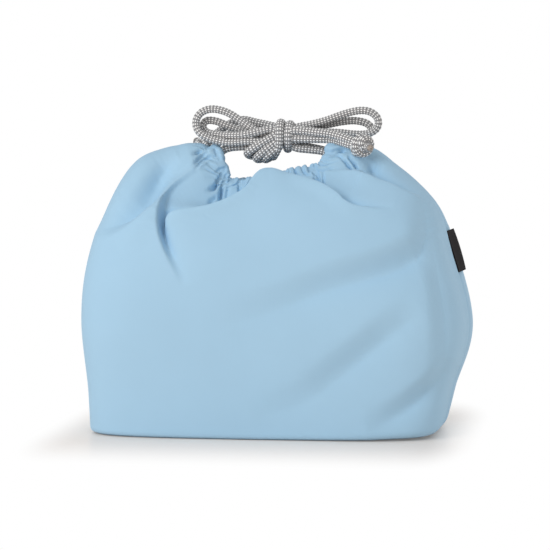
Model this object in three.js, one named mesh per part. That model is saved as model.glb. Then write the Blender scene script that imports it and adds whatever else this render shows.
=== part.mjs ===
// Drawstring lunch bag: a soft cloth pouch on a flat base. Two cords run round its mouth in a sewn casing,
// leave it at the two side seams and are tied over the mouth in a bow of doubled cord.
// Millimetres, +Z up, front towards -Y. The origin is the middle of the base, on the surface it stands on.
import * as THREE from "three";

// Cloth pouch: outside sizes of its sections, from the base up to the drawn-in neck
const BASE_LENGTH = 186;
const BASE_DEPTH = 98;
const HEM_LENGTH = 195;
const HEM_DEPTH = 105;
const HEM_HEIGHT = 22;
const BELLY_LENGTH = 207;
const BELLY_DEPTH = 111;
const BELLY_HEIGHT = 60;
const CHEST_LENGTH = 194;
const CHEST_DEPTH = 106;
const CHEST_HEIGHT = 96;
const SHOULDER_LENGTH = 173;
const SHOULDER_DEPTH = 88;
const SHOULDER_HEIGHT = 123;
const CROWN_LENGTH = 133;
const CROWN_DEPTH = 63;
const CROWN_SIDE_HEIGHT = 145;
const CROWN_FRONT_HEIGHT = 140;
const CROWN_BACK_HEIGHT = 135;
const COLLAR_LENGTH = 92;
const COLLAR_DEPTH = 46;
const COLLAR_SIDE_HEIGHT = 149.5;
const COLLAR_FRONT_HEIGHT = 140;
const COLLAR_BACK_HEIGHT = 136;

// How far the slack cloth leans to the left at its foot and at its shoulders
const FOOT_LEAN = 3;
const CHEST_LEAN = 2;
const CROWN_LEAN = 6;

// Cloth and sewing
const CLOTH = 1.6;
const SEAM_GAP = 0.3;
const TAPE_WIDTH = 8;
const TAPE_THICKNESS = 0.8;

// Casing and the cords in it
const CORD_DIAMETER = 4.2;
const CORD_CLEARANCE = 0.4;
const CASING_WALL = 1.2;
const MOUTH_LENGTH = 60;
const MOUTH_DEPTH = 28;
const MOUTH_SQUARENESS = 2.5;
const CASING_SIDE_HEIGHT = 148;
const CASING_FRONT_HEIGHT = 132.5;
const CASING_BOW = 12;
const CORD_SLOT = 16;

// Bow
const KNOT_HALF_LENGTH = 9;
const KNOT_RADIUS = 8.5;
const WRAP_RELIEF = 0.6;
const WRAP_SPACING = 5;
const KNOT_SHIFT = 4;
const KNOT_RISE = 10.5;
const END_KNOT_RADIUS = 6.3;
const CUT_END_LENGTH = 4;

// Folded label in the right side seam
const LABEL_LENGTH = 23;
const LABEL_WIDTH = 9;
const LABEL_PLY = 0.4;
const LABEL_HEIGHT = 97;
const LABEL_LEAN = 70;
const LABEL_CLEARANCE = 0.4;

// Facets
const PANEL_SPAN_STEPS = 40;
const PANEL_ROW_STEPS = 20;
const CASING_STEPS = 26;
const RUN_STEPS = 44;
const CORD_SIDES = 8;
const LOOP_STEP = 5;
const LATHE_STEPS = 20;

const TURN = 2 * Math.PI;
const RIGHT = 0;
const BACK = Math.PI / 2;
const LEFT = Math.PI;
const FRONT = 1.5 * Math.PI;

// Section of the pouch. Its height is even all round, or given for its sides, front and back.
function section(length, depth, squareness, lean, side, front = side, back = front) {
  return { length, depth, squareness, lean, side, front, back };
}

// Sections from the floor to the collar. The edge at the casing follows above them.
const SECTIONS = [
  section(BASE_LENGTH, BASE_DEPTH, 7, FOOT_LEAN, 0),
  section(HEM_LENGTH, HEM_DEPTH, 6, FOOT_LEAN, HEM_HEIGHT),
  section(BELLY_LENGTH, BELLY_DEPTH, 5, 0, BELLY_HEIGHT),
  section(CHEST_LENGTH, CHEST_DEPTH, 4.2, CHEST_LEAN, CHEST_HEIGHT),
  section(SHOULDER_LENGTH, SHOULDER_DEPTH, 3.4, CHEST_LEAN, SHOULDER_HEIGHT),
  section(
    CROWN_LENGTH,
    CROWN_DEPTH,
    2.8,
    CROWN_LEAN,
    CROWN_SIDE_HEIGHT,
    CROWN_FRONT_HEIGHT,
    CROWN_BACK_HEIGHT,
  ),
  section(
    COLLAR_LENGTH,
    COLLAR_DEPTH,
    2.4,
    CROWN_LEAN / 2,
    COLLAR_SIDE_HEIGHT,
    COLLAR_FRONT_HEIGHT,
    COLLAR_BACK_HEIGHT,
  ),
];

// Casing section: a flat tunnel for two cords, one above the other
const LANE = (CORD_DIAMETER + CORD_CLEARANCE) / 2;
const TUNNEL_HALF_WIDTH = CORD_DIAMETER / 2 + CORD_CLEARANCE;
const TUNNEL_HALF_HEIGHT = LANE + CORD_DIAMETER / 2 + CORD_CLEARANCE;
const CASING_HALF_WIDTH = TUNNEL_HALF_WIDTH + CASING_WALL;
const CASING_HALF_HEIGHT = TUNNEL_HALF_HEIGHT + CASING_WALL;

// Distance from the middle to a rounded oblong outline, in the direction of an angle
function outlineRadius(angle, halfLength, halfDepth, squareness) {
  const along = Math.abs(Math.cos(angle) / halfLength) ** squareness;
  const across = Math.abs(Math.sin(angle) / halfDepth) ** squareness;
  return (along + across) ** (-1 / squareness);
}

// Middle line of the casing: a rounded oblong that dips at the front and the back
function mouthLine(angle) {
  const radius = outlineRadius(angle, MOUTH_LENGTH / 2, MOUTH_DEPTH / 2, MOUTH_SQUARENESS);
  const x = radius * Math.cos(angle);
  const rise = Math.hypot(x, CASING_BOW) - CASING_BOW;
  const fullRise = Math.hypot(MOUTH_LENGTH / 2, CASING_BOW) - CASING_BOW;
  const height = THREE.MathUtils.lerp(CASING_FRONT_HEIGHT, CASING_SIDE_HEIGHT, rise / fullRise);
  return new THREE.Vector3(x, radius * Math.sin(angle), height);
}

// Point beside the middle line: raised square to the line, and moved level out of the mouth
function mouthPoint(angle, lift = 0, out = 0) {
  const step = 1e-3;
  const along = mouthLine(angle + step).sub(mouthLine(angle - step)).normalize();
  const outward = new THREE.Vector3(along.y, -along.x, 0).normalize();
  const upward = outward.clone().cross(along);
  return mouthLine(angle).addScaledVector(upward, lift).addScaledVector(outward, out);
}

// Edge of the cloth, where it is sewn to the outside of the casing
function neckPoint(angle) {
  return mouthPoint(angle, -CASING_HALF_HEIGHT / 2, CASING_HALF_WIDTH + SEAM_GAP);
}

function sectionPoint(index, angle) {
  if (index >= SECTIONS.length) return neckPoint(angle);
  const { length, depth, squareness, lean, side, front, back } = SECTIONS[Math.max(index, 0)];
  const radius = outlineRadius(angle, length / 2, depth / 2, squareness);
  const x = radius * Math.cos(angle);
  const middle = Math.sin(angle) < 0 ? front : back;
  const height = THREE.MathUtils.lerp(middle, side, (2 * x / length) ** 2);
  return new THREE.Vector3(x - lean, radius * Math.sin(angle), height);
}

// Outside of the cloth: row 0 is the base, row 1 the edge at the casing
function clothPoint(angle, row) {
  const place = THREE.MathUtils.clamp(row, 0, 1) * SECTIONS.length;
  const index = Math.min(Math.floor(place), SECTIONS.length - 1);
  const share = place - index;
  const [before, start, end, after] = [-1, 0, 1, 2].map((k) => sectionPoint(index + k, angle));
  const startSlope = end.clone().sub(before).multiplyScalar(0.5);
  const endSlope = after.clone().sub(start).multiplyScalar(0.5);
  const square = share * share;
  const cube = square * share;
  return new THREE.Vector3()
    .addScaledVector(start, 2 * cube - 3 * square + 1)
    .addScaledVector(startSlope, cube - 2 * square + share)
    .addScaledVector(end, 3 * square - 2 * cube)
    .addScaledVector(endSlope, cube - square);
}

function clothNormal(angle, row) {
  const step = 1e-3;
  const along = clothPoint(angle + step, row).sub(clothPoint(angle - step, row));
  const up = clothPoint(angle, row + step).sub(clothPoint(angle, row - step));
  return along.cross(up).normalize();
}

// Point at a depth under the outside of the cloth
function underCloth(angle, row, depth) {
  return clothPoint(angle, row).addScaledVector(clothNormal(angle, row), -depth);
}

// Row at which the side of the pouch reaches a height
function rowAtHeight(height) {
  let low = 0;
  let high = (SECTIONS.length - 1) / SECTIONS.length;
  for (let i = 0; i < 40; i++) {
    const middle = (low + high) / 2;
    if (clothPoint(RIGHT, middle).z < height) low = middle;
    else high = middle;
  }
  return low;
}

function steps(count, start, end) {
  return Array.from({ length: count + 1 }, (_, i) => THREE.MathUtils.lerp(start, end, i / count));
}

// Angles across half of a section, close together round its two corners
function halfSpan(start, end) {
  return steps(PANEL_SPAN_STEPS, 0, Math.PI).map((turn) => {
    const along = Math.sign(Math.cos(turn)) * Math.abs(Math.cos(turn)) ** (2 / 3);
    const across = Math.max(Math.sin(turn), 0) ** (2 / 3);
    const share = Math.atan2(BASE_DEPTH * across, BASE_LENGTH * along) / Math.PI;
    return THREE.MathUtils.lerp(start, end, share);
  });
}

// Angles all the way round a section, without the repeated first one
function fullSpan() {
  return [...halfSpan(0, Math.PI).slice(0, -1), ...halfSpan(Math.PI, TURN).slice(0, -1)];
}

// Solid from a grid of corners: grid[i][j] runs along i and up j, seen from outside
class Quads {
  constructor() {
    this.positions = [];
    this.triangles = [];
  }

  add(points) {
    return points.map((point) => this.positions.push(...point.toArray()) / 3 - 1);
  }

  quad(a, b, c, d) {
    this.triangles.push(a, b, c, a, c, d);
  }

  strip(lower, upper, closed = false) {
    const count = closed ? lower.length : lower.length - 1;
    for (let i = 0; i < count; i++) {
      const next = (i + 1) % lower.length;
      this.quad(lower[i], lower[next], upper[next], upper[i]);
    }
  }

  geometry() {
    const made = new THREE.BufferGeometry();
    made.setAttribute("position", new THREE.Float32BufferAttribute(this.positions, 3));
    made.setIndex(this.triangles);
    made.computeVertexNormals();
    return made;
  }
}

// Cloth patch between two depths under the outside. spanAt(row) gives the patch's angles at a row.
function clothPatch({ rows, spanAt, outside, inside, ring = false }) {
  const mesh = new Quads();
  const layer = (depth) => rows.map((row) => mesh.add(spanAt(row).map((a) => underCloth(a, row, depth))));
  const outer = layer(outside);
  const inner = layer(inside);
  const last = rows.length - 1;
  for (let j = 0; j < last; j++) {
    mesh.strip(outer[j], outer[j + 1], ring);
    mesh.strip(inner[j + 1], inner[j], ring);
  }
  mesh.strip(inner[0], outer[0], ring);
  mesh.strip(outer[last], inner[last], ring);
  if (!ring) {
    const column = (layerRows, i) => layerRows.map((line) => line.at(i));
    mesh.strip(column(outer, 0), column(inner, 0));
    mesh.strip(column(inner, -1), column(outer, -1));
  }
  return mesh.geometry();
}

// Angle that a level width takes up at a side seam
function seamAngle(row, width) {
  return Math.asin(width / Math.abs(clothPoint(RIGHT, row).x));
}

function panel(seamStart) {
  return clothPatch({
    rows: PANEL_ROWS,
    spanAt: (row) => {
      const gap = seamAngle(row, SEAM_GAP / 2);
      return halfSpan(seamStart + gap, seamStart + Math.PI - gap);
    },
    outside: 0,
    inside: CLOTH,
  });
}

const TAPE_OUTSIDE = CLOTH + SEAM_GAP;
const TAPE_INSIDE = TAPE_OUTSIDE + TAPE_THICKNESS;
const BASE_TAPE_LOW = rowAtHeight(CLOTH + 2 * SEAM_GAP);
const BASE_TAPE_HIGH = rowAtHeight(CLOTH + 2 * SEAM_GAP + TAPE_WIDTH);
const SIDE_TAPE_LOW = rowAtHeight(CLOTH + 4 * SEAM_GAP + TAPE_WIDTH);
const SIDE_TAPE_HIGH = rowAtHeight((SHOULDER_HEIGHT + CROWN_SIDE_HEIGHT) / 2);
const PANEL_ROWS = steps(PANEL_ROW_STEPS, 0, 1);

// Tape that binds the raw edges of a side seam, on the inside
function sideTape(seam) {
  return clothPatch({
    rows: PANEL_ROWS.filter((row) => row > SIDE_TAPE_LOW && row < SIDE_TAPE_HIGH),
    spanAt: (row) => {
      const half = seamAngle(row, TAPE_WIDTH / 2);
      return steps(2, seam - half, seam + half);
    },
    outside: TAPE_OUTSIDE,
    inside: TAPE_INSIDE,
  });
}

// Tape that binds the seam between the base and the walls, all the way round
function baseTape() {
  return clothPatch({
    rows: steps(2, BASE_TAPE_LOW, BASE_TAPE_HIGH),
    spanAt: fullSpan,
    outside: TAPE_OUTSIDE,
    inside: TAPE_INSIDE,
    ring: true,
  });
}

function basePanel() {
  const corners = fullSpan().map((angle) => underCloth(angle, 0, CLOTH + SEAM_GAP));
  const outline = new THREE.Shape(corners.map((corner) => new THREE.Vector2(corner.x, corner.y)));
  return new THREE.ExtrudeGeometry(outline, { depth: CLOTH, steps: 1, bevelEnabled: false });
}

// Angle past a side seam at which the casing ends and its cord slot starts
function slotAngle() {
  let low = 0;
  let high = BACK;
  for (let i = 0; i < 40; i++) {
    const middle = (low + high) / 2;
    if (mouthPoint(middle).y < CORD_SLOT / 2) low = middle;
    else high = middle;
  }
  return high;
}

const SLOT_ANGLE = slotAngle();

// Oblong ring of eight corners across the casing
function casingRing(angle, halfWidth, halfHeight, chamfer) {
  const corners = [
    [halfWidth, chamfer - halfHeight],
    [halfWidth, halfHeight - chamfer],
    [halfWidth - chamfer, halfHeight],
    [chamfer - halfWidth, halfHeight],
    [-halfWidth, halfHeight - chamfer],
    [-halfWidth, chamfer - halfHeight],
    [chamfer - halfWidth, -halfHeight],
    [halfWidth - chamfer, -halfHeight],
  ];
  return corners.map(([out, up]) => mouthPoint(angle, up, out));
}

// Sewn tunnel along one lip of the mouth, open at both ends
function casing(seamStart) {
  const mesh = new Quads();
  const angles = steps(CASING_STEPS, seamStart + SLOT_ANGLE, seamStart + Math.PI - SLOT_ANGLE);
  const chamfer = CASING_WALL;
  const rings = (halfWidth, halfHeight, cut) =>
    angles.map((angle) => mesh.add(casingRing(angle, halfWidth, halfHeight, cut)));
  const outer = rings(CASING_HALF_WIDTH, CASING_HALF_HEIGHT, chamfer);
  const inner = rings(TUNNEL_HALF_WIDTH, TUNNEL_HALF_HEIGHT, chamfer / 3);
  for (let i = 0; i < angles.length - 1; i++) {
    mesh.strip(outer[i + 1], outer[i], true);
    mesh.strip(inner[i], inner[i + 1], true);
  }
  mesh.strip(outer[0], inner[0], true);
  mesh.strip(inner.at(-1), outer.at(-1), true);
  return mesh.geometry();
}

function cordSection(diameter) {
  const corners = steps(CORD_SIDES, 0, TURN).slice(0, -1);
  const round = (angle) => new THREE.Vector2(Math.cos(angle), Math.sin(angle)).multiplyScalar(diameter / 2);
  return new THREE.Shape(corners.map(round));
}

function cordTube(points, stepCount) {
  const route = new THREE.CatmullRomCurve3(points, false, "centripetal");
  const count = stepCount ?? Math.max(2, Math.round(route.getLength() / LOOP_STEP));
  return new THREE.ExtrudeGeometry(cordSection(CORD_DIAMETER), {
    steps: count,
    extrudePath: route,
    bevelEnabled: false,
  });
}

// Stretch of a cord inside the casing: in at one side of a slot, round the mouth and out at the other side
function casingRun(seam, lane) {
  const angles = steps(RUN_STEPS, seam + SLOT_ANGLE, seam + TURN - SLOT_ANGLE);
  return cordTube(angles.map((angle) => mouthPoint(angle, lane)), RUN_STEPS);
}

const KNOT = new THREE.Vector3(KNOT_SHIFT, 0, CASING_SIDE_HEIGHT + KNOT_RISE);

// Middle of the bow: a rounded barrel across the mouth, with the relief of the two wraps of doubled cord
function bowKnot() {
  const profile = steps(LATHE_STEPS, -1, 1).map((share) => {
    const along = share * KNOT_HALF_LENGTH;
    const near = Math.min(...[-0.5, 0.5].map((side) => Math.abs(along - side * WRAP_SPACING)));
    const wrap = WRAP_RELIEF * Math.max(0, 1 - (near / (WRAP_SPACING / 2)) ** 2);
    const end = Math.sqrt(Math.max(0, 1 - share * share));
    return new THREE.Vector2(end * (KNOT_RADIUS + wrap), along);
  });
  return new THREE.LatheGeometry(profile, LATHE_STEPS);
}

// Where a strand meets the knot: a place on its left (-1) or right (+1) end, from its middle
function knotFace(side, across, up) {
  const inner = Math.max(0, Math.hypot(across, up) - CORD_DIAMETER / 2) / KNOT_RADIUS;
  const reach = KNOT_HALF_LENGTH * Math.sqrt(1 - Math.min(inner, 1) ** 2) + SEAM_GAP;
  return new THREE.Vector3(KNOT.x + side * reach, KNOT.y + across, KNOT.z + up);
}

function strand(...points) {
  return points.map((point) => (point.isVector3 ? point : new THREE.Vector3(...point)));
}

// Free cord from the slot in the casing to the knot. In the right slot it starts beside the cord that
// crosses the slot in the upper lane, in the left slot on top of the one that crosses in the lower lane.
function lead(side, across, knotAcross, knotUp) {
  const start = mouthPoint(side > 0 ? RIGHT : LEFT, LANE).setY(across);
  if (side > 0) start.x -= CORD_DIAMETER / 2 + 2 * CORD_CLEARANCE;
  const end = knotFace(side, knotAcross, knotUp);
  const middle = start.clone().lerp(end, 0.5);
  return strand(start, middle, end);
}

// Loops of the bow, from where they leave the knot round to where they come back to it
const LEFT_LOOP_FRONT = strand(
  knotFace(-1, -2.4, 0.6),
  [-12.5, -2.4, 160.4],
  [-18.3, -2.6, 164.0],
  [-24.2, -3.0, 168.4],
  [-29.5, -3.6, 171.6],
  [-35.0, -4.3, 172.8],
  [-39.6, -5.2, 171.4],
  [-42.2, -6.0, 168.2],
  [-42.6, -6.6, 164.2],
  [-40.6, -7.0, 160.4],
  [-36.4, -7.0, 157.8],
  [-30.6, -6.8, 156.2],
  [-24.0, -6.4, 155.4],
  [-16.0, -5.8, 154.8],
  knotFace(-1, -5.0, -4.4),
);
const LEFT_LOOP_BACK = strand(
  knotFace(-1, 2.4, 0.8),
  [-12.5, 2.4, 159.6],
  [-19.5, 2.2, 161.4],
  [-27.0, 1.8, 164.2],
  [-33.5, 1.2, 166.6],
  [-38.2, 0.4, 166.6],
  [-40.0, -0.6, 163.6],
  [-37.6, -1.6, 160.4],
  [-32.4, -2.4, 159.2],
  [-25.0, -4.4, 159.8],
  [-17.5, -7.0, 159.6],
  [-11.0, -7.2, 160.6],
  knotFace(-1, -6.2, 4.0),
);
const RIGHT_LOOP_FRONT = strand(
  knotFace(1, 0, 5.2),
  [18.5, 0.0, 164.8],
  [27.0, 0.2, 167.0],
  [36.6, 0.4, 170.4],
  [44.2, 0.6, 172.2],
  [50.0, 0.8, 171.8],
  [54.0, 1.0, 169.0],
  [55.0, 1.2, 165.2],
  [53.2, 1.4, 161.8],
  [48.6, 1.4, 159.8],
  [42.0, 1.2, 159.6],
  [34.0, 0.8, 160.4],
  [25.0, 0.4, 160.6],
  knotFace(1, 0, 0.8),
);
const RIGHT_LOOP_BACK = strand(
  knotFace(1, 4.8, 5.0),
  [20.0, 5.0, 163.8],
  [27.5, 5.4, 164.8],
  [34.5, 5.8, 166.2],
  [41.5, 6.2, 166.8],
  [47.6, 6.4, 165.6],
  [50.6, 6.6, 162.8],
  [49.2, 6.8, 159.6],
  [44.0, 6.8, 158.2],
  [36.0, 6.4, 158.4],
  [26.0, 5.6, 159.0],
  knotFace(1, 4.8, 0.4),
);

// Stopper knots lie on the cloth beside the mouth: the right one in front of the bow, the left one behind it
const RIGHT_END = { angle: -0.27, row: 0.775, axis: new THREE.Vector3(0.75, -0.55, 0.1) };
const LEFT_END = { angle: Math.PI - 0.34, row: 0.86, axis: new THREE.Vector3(-0.75, 0.35, 0.5) };

function endKnotCentre({ angle, row }) {
  return underCloth(angle, row, -(END_KNOT_RADIUS + SEAM_GAP));
}

// Overhand knot with the melted end of the cord standing out of it
function endKnot() {
  const ball = steps(LATHE_STEPS / 2, -BACK, BACK - 0.35).map(
    (angle) => new THREE.Vector2(END_KNOT_RADIUS * Math.cos(angle), END_KNOT_RADIUS * Math.sin(angle)),
  );
  const tip = END_KNOT_RADIUS + CUT_END_LENGTH;
  const stub = [new THREE.Vector2(CORD_DIAMETER / 2, tip), new THREE.Vector2(0, tip)];
  return new THREE.LatheGeometry([...ball, ...stub], LATHE_STEPS);
}

// Where a strand of a tail meets its stopper knot, coming from a point, above or below the knot's middle
function endKnotFace(place, from, up) {
  const centre = endKnotCentre(place);
  const towards = new THREE.Vector3(...from).sub(centre).normalize();
  const upward = new THREE.Vector3(0, 0, 1).addScaledVector(towards, -towards.z).normalize();
  return centre.addScaledVector(towards, END_KNOT_RADIUS + 2 * SEAM_GAP).addScaledVector(upward, up);
}

// Tails of the bow: two strands one above the other, from the knot to the stopper knot
const RIGHT_TAIL_UPPER = strand(
  knotFace(1, -6.4, 3.2),
  [22.0, -7.6, 160.9],
  [32.0, -9.8, 159.6],
  endKnotFace(RIGHT_END, [32.0, -9.8, 157.3], LANE),
);
const RIGHT_TAIL_LOWER = strand(
  knotFace(1, -6.4, -1.4),
  [22.0, -7.6, 156.3],
  [32.0, -9.8, 155.0],
  endKnotFace(RIGHT_END, [32.0, -9.8, 157.3], -LANE),
);
const LEFT_TAIL_UPPER = strand(
  knotFace(-1, 7.0, 5.0),
  [-12.0, 8.4, 165.6],
  [-20.0, 9.8, 167.0],
  [-28.0, 11.2, 164.4],
  endKnotFace(LEFT_END, [-27.5, 11.1, 161.9], LANE),
);
const LEFT_TAIL_LOWER = strand(
  knotFace(-1, 7.0, 0.4),
  [-12.0, 8.4, 161.0],
  [-20.0, 9.8, 162.2],
  [-27.0, 11.0, 159.4],
  endKnotFace(LEFT_END, [-27.5, 11.1, 161.9], -LANE),
);

// Label: a ribbon folded once, its fold outward and its two ends at the seam
function label() {
  const gap = LABEL_PLY / 2;
  const half = LABEL_PLY + gap;
  const outline = new THREE.Shape();
  outline.moveTo(0, -half);
  outline.lineTo(LABEL_WIDTH - half, -half);
  outline.absarc(LABEL_WIDTH - half, 0, half, -BACK, BACK, false);
  outline.lineTo(0, half);
  outline.lineTo(0, gap);
  outline.lineTo(LABEL_WIDTH - half, gap);
  outline.absarc(LABEL_WIDTH - half, 0, gap, BACK, -BACK, true);
  outline.lineTo(0, -gap);
  const made = new THREE.ExtrudeGeometry(outline, {
    depth: LABEL_LENGTH,
    steps: 1,
    bevelEnabled: false,
    curveSegments: 4,
  });
  return made.translate(0, 0, -LABEL_LENGTH / 2);
}

// Frame of the label at the seam: Z up along the seam, X out of the cloth
function labelFrame() {
  const low = clothPoint(RIGHT, rowAtHeight(LABEL_HEIGHT - LABEL_LENGTH / 2));
  const high = clothPoint(RIGHT, rowAtHeight(LABEL_HEIGHT + LABEL_LENGTH / 2));
  const seam = high.clone().sub(low).normalize();
  const back = new THREE.Vector3(0, 1, 0);
  const out = back.clone().cross(seam);
  const frame = new THREE.Matrix4().makeBasis(out, back, seam);
  const bulge = clothPoint(RIGHT, rowAtHeight(LABEL_HEIGHT)).sub(low.clone().lerp(high, 0.5)).dot(out);
  const stand = Math.max(bulge, 0) + 1.5 * LABEL_PLY + LABEL_CLEARANCE;
  return frame.setPosition(low.lerp(high, 0.5).addScaledVector(out, stand));
}

// Materials
const surface = (color, roughness) => new THREE.MeshStandardMaterial({ color, roughness, metalness: 0 });
const cloth = surface(0xaacde3, 0.85);
const casingCloth = surface(0xa4c8df, 0.85);
const tape = surface(0x8fb2c8, 0.9);
const braid = surface(0xb9b9b8, 0.8);
const ribbon = surface(0x1c1a1b, 0.7);

const bag = new THREE.Group();

function piece(name, geometry, material) {
  const mesh = new THREE.Mesh(geometry, material);
  mesh.name = name;
  bag.add(mesh);
  return mesh;
}

// Turns a lathe's axis from +Y to a direction and moves it
function aim(mesh, direction, place) {
  mesh.quaternion.setFromUnitVectors(new THREE.Vector3(0, 1, 0), direction.clone().normalize());
  mesh.position.copy(place);
}

piece("base_panel", basePanel(), cloth);
piece("front_panel", panel(LEFT), cloth);
piece("back_panel", panel(RIGHT), cloth);
piece("base_seam_tape", baseTape(), tape);
piece("left_seam_tape", sideTape(LEFT), tape);
piece("right_seam_tape", sideTape(RIGHT), tape);
piece("front_casing", casing(LEFT), casingCloth);
piece("back_casing", casing(RIGHT), casingCloth);
piece("left_cord_run", casingRun(LEFT, LANE), braid);
piece("right_cord_run", casingRun(RIGHT, -LANE), braid);

piece("left_lead_front", cordTube(lead(-1, -LANE, 0.4, -6.4)), braid);
piece("left_lead_back", cordTube(lead(-1, LANE, 5.0, -6.0)), braid);
piece("right_lead_front", cordTube(lead(1, -LANE, -2.4, -6.4)), braid);
piece("right_lead_back", cordTube(lead(1, LANE, 2.4, -4.6)), braid);

aim(piece("bow_knot", bowKnot(), braid), new THREE.Vector3(1, 0, 0), KNOT);
piece("left_loop_front", cordTube(LEFT_LOOP_FRONT), braid);
piece("left_loop_back", cordTube(LEFT_LOOP_BACK), braid);
piece("right_loop_front", cordTube(RIGHT_LOOP_FRONT), braid);
piece("right_loop_back", cordTube(RIGHT_LOOP_BACK), braid);

aim(piece("right_end_knot", endKnot(), braid), RIGHT_END.axis, endKnotCentre(RIGHT_END));
aim(piece("left_end_knot", endKnot(), braid), LEFT_END.axis, endKnotCentre(LEFT_END));
piece("right_tail_upper", cordTube(RIGHT_TAIL_UPPER), braid);
piece("right_tail_lower", cordTube(RIGHT_TAIL_LOWER), braid);
piece("left_tail_upper", cordTube(LEFT_TAIL_UPPER), braid);
piece("left_tail_lower", cordTube(LEFT_TAIL_LOWER), braid);

const labelMesh = piece("side_label", label(), ribbon);
labelMesh.applyMatrix4(labelFrame());
labelMesh.rotateZ(THREE.MathUtils.degToRad(LABEL_LEAN));

export default bag;
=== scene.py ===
"""Drawstring lunch bag: soft cloth, gathers, folds, braided cord, label and studio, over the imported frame."""

import math

import bpy
import numpy as np
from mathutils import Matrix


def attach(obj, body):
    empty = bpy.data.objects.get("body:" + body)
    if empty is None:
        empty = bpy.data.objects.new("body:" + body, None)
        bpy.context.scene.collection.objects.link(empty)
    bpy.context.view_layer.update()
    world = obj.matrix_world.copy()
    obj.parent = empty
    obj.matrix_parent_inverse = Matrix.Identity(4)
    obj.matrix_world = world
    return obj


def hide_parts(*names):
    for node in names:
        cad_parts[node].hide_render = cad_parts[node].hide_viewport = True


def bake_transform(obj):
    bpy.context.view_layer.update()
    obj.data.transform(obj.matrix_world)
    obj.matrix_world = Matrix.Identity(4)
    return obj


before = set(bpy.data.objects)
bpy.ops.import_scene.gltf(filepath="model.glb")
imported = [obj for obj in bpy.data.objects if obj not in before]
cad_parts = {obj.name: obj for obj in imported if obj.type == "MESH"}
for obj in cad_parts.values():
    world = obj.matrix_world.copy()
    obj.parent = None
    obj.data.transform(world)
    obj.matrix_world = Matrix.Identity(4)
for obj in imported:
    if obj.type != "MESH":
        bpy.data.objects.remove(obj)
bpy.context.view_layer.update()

MM = 0.001
TAU = 2 * math.pi
RIGHT, LEFT = 0.0, math.pi
HALF_TURN = np.array([-1, -1, 1])

# The photograph's view, in millimetres and degrees
VIEW_AZIMUTH = 8
VIEW_ELEVATION = 4
VIEW_DISTANCE = 1400
VIEW_TARGET = (-0.7, 0, 83.6)
VIEW_WIDTH = 297
SENSOR_WIDTH = 36
FRONT_PLANE = -48

# Fineness of the curves
SPAN_STEPS = 24
CURVE_STEPS = 400
MOUTH_STEPS = 4001
COLUMN_STEPS = 8001

# Cloth. Its columns are spread along the belly and the mouth in these shares
CLOTH_THICKNESS = 1.4
CLOTH_COLUMNS = 800
HALF_COLUMNS = CLOTH_COLUMNS // 2
COLUMN_SHARES = (0.65, 0.35)
SEAM_DEPTH = 0.9
SEAM_WIDTH = 1.3
SEAM_FADE = (2, 20)

# Rounded foot of the wall, and the base panel inside it
LEFT_ROUNDING = 2.6
RIGHT_ROUNDING = 5
ROUNDING_CHANGE = (30, 90)
FLOOR_GAP = 0.05
BASE_RINGS = 24
BASE_RIM = np.array([0.985, 0.97, 0.8])
BASE_MIDDLE = 0.02
BASE_LIFT = 0.4

# Sections of the pouch, from the floor to the neck: half length to the left and right, half depth to the
# front and back, squareness, then the heights at the left, right, front and back
SECTIONS = np.array([
    (98.0, 90.4, 48.5, 48.5, 5.0, 0.5, 1.2, 0.0, 0.0),
    (98.8, 96.4, 52.0, 52.0, 5.0, 22.0, 22.0, 22.0, 22.0),
    (102.0, 104.8, 55.5, 55.5, 5.0, 60.0, 57.0, 60.0, 60.0),
    (98.4, 96.4, 53.0, 53.0, 4.2, 97.0, 97.0, 96.0, 96.0),
    (90.0, 88.0, 44.5, 44.0, 3.4, 124.0, 123.0, 123.0, 121.0),
    (75.0, 65.0, 32.0, 30.0, 2.8, 147.5, 146.6, 140.0, 128.5),
    (51.0, 47.5, 23.0, 22.0, 2.4, 155.0, 155.6, 141.5, 130.0),
])
ROWS_PER_SECTION = (12, 18, 24, 40, 44, 46, 36)
NECK_ROW = sum(ROWS_PER_SECTION)
NECK_SOFTNESS = 14
NECK_PASSES = 150
NECK_EVENING = 0.8
CREASED_ROWS = 126

# Heights along the front of the two upper sections, from the left seam to the right one
CROWN_FRONT = (147.5, 143, 135, 128.5, 126.5, 135, 140.8, 138.2, 136.8, 135.6, 136, 140.5, 146.6)
COLLAR_FRONT = (155, 149, 139, 132.5, 130.5, 132.5, 137.6, 137, 138, 139.4, 142.5, 149, 155.6)

# Mouth, and the heights of its lips: the front from left to right, the back from right to left
MOUTH_LEFT = 33.3
MOUTH_RIGHT = 33
MOUTH_HALF_DEPTH = 14
MOUTH_FRONT_SQUARENESS = 2.5
MOUTH_BACK_SQUARENESS = 5
FRONT_LIP = (
    154.6, 154.4, 153, 147.8, 141.2, 138.6, 138.2, 138.4, 138.8, 138.6, 138.2, 138, 138.5, 140.4, 142.4,
    143.6, 144.2, 144.8, 145.4, 146, 146.8, 150.4, 156, 159, 160,
)
BACK_LIP = (160, 152.5, 143.5, 138.5, 136, 135, 134.5, 134.5, 134.8, 135.4, 138, 146.5, 154.6)
AXIS_STEP = 0.02
AXIS_SLOPE = 0.5

# Casing round the mouth, the stitches at its foot and the slots at the side seams
CASING_HALF_WIDTH = 3.2
CASING_HALF_HEIGHT = 6.2
CASING_THICKNESS = 1.0
CASING_TUCK = 2
CASING_JOIN = 6
CASING_ROWS = 34
CASING_SLOT = 11
SLOT_MARGIN = 3
SLOT_ROUNDING = 2
SLOT_CUT = 0.36
NECK_GAP = 0.2
NECK_LIFT = -1.5
NECK_SIDE_LIFT = 7

# Seam tapes: the depths of their faces, and the columns and rows of the wall that they cover
TAPE_FACES = (0.15, 0.85)
TAPE_COLUMNS = 4
TAPE_ROWS = slice(14, NECK_ROW - 40)
BASE_TAPE_ROWS = slice(3, 9)

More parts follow.
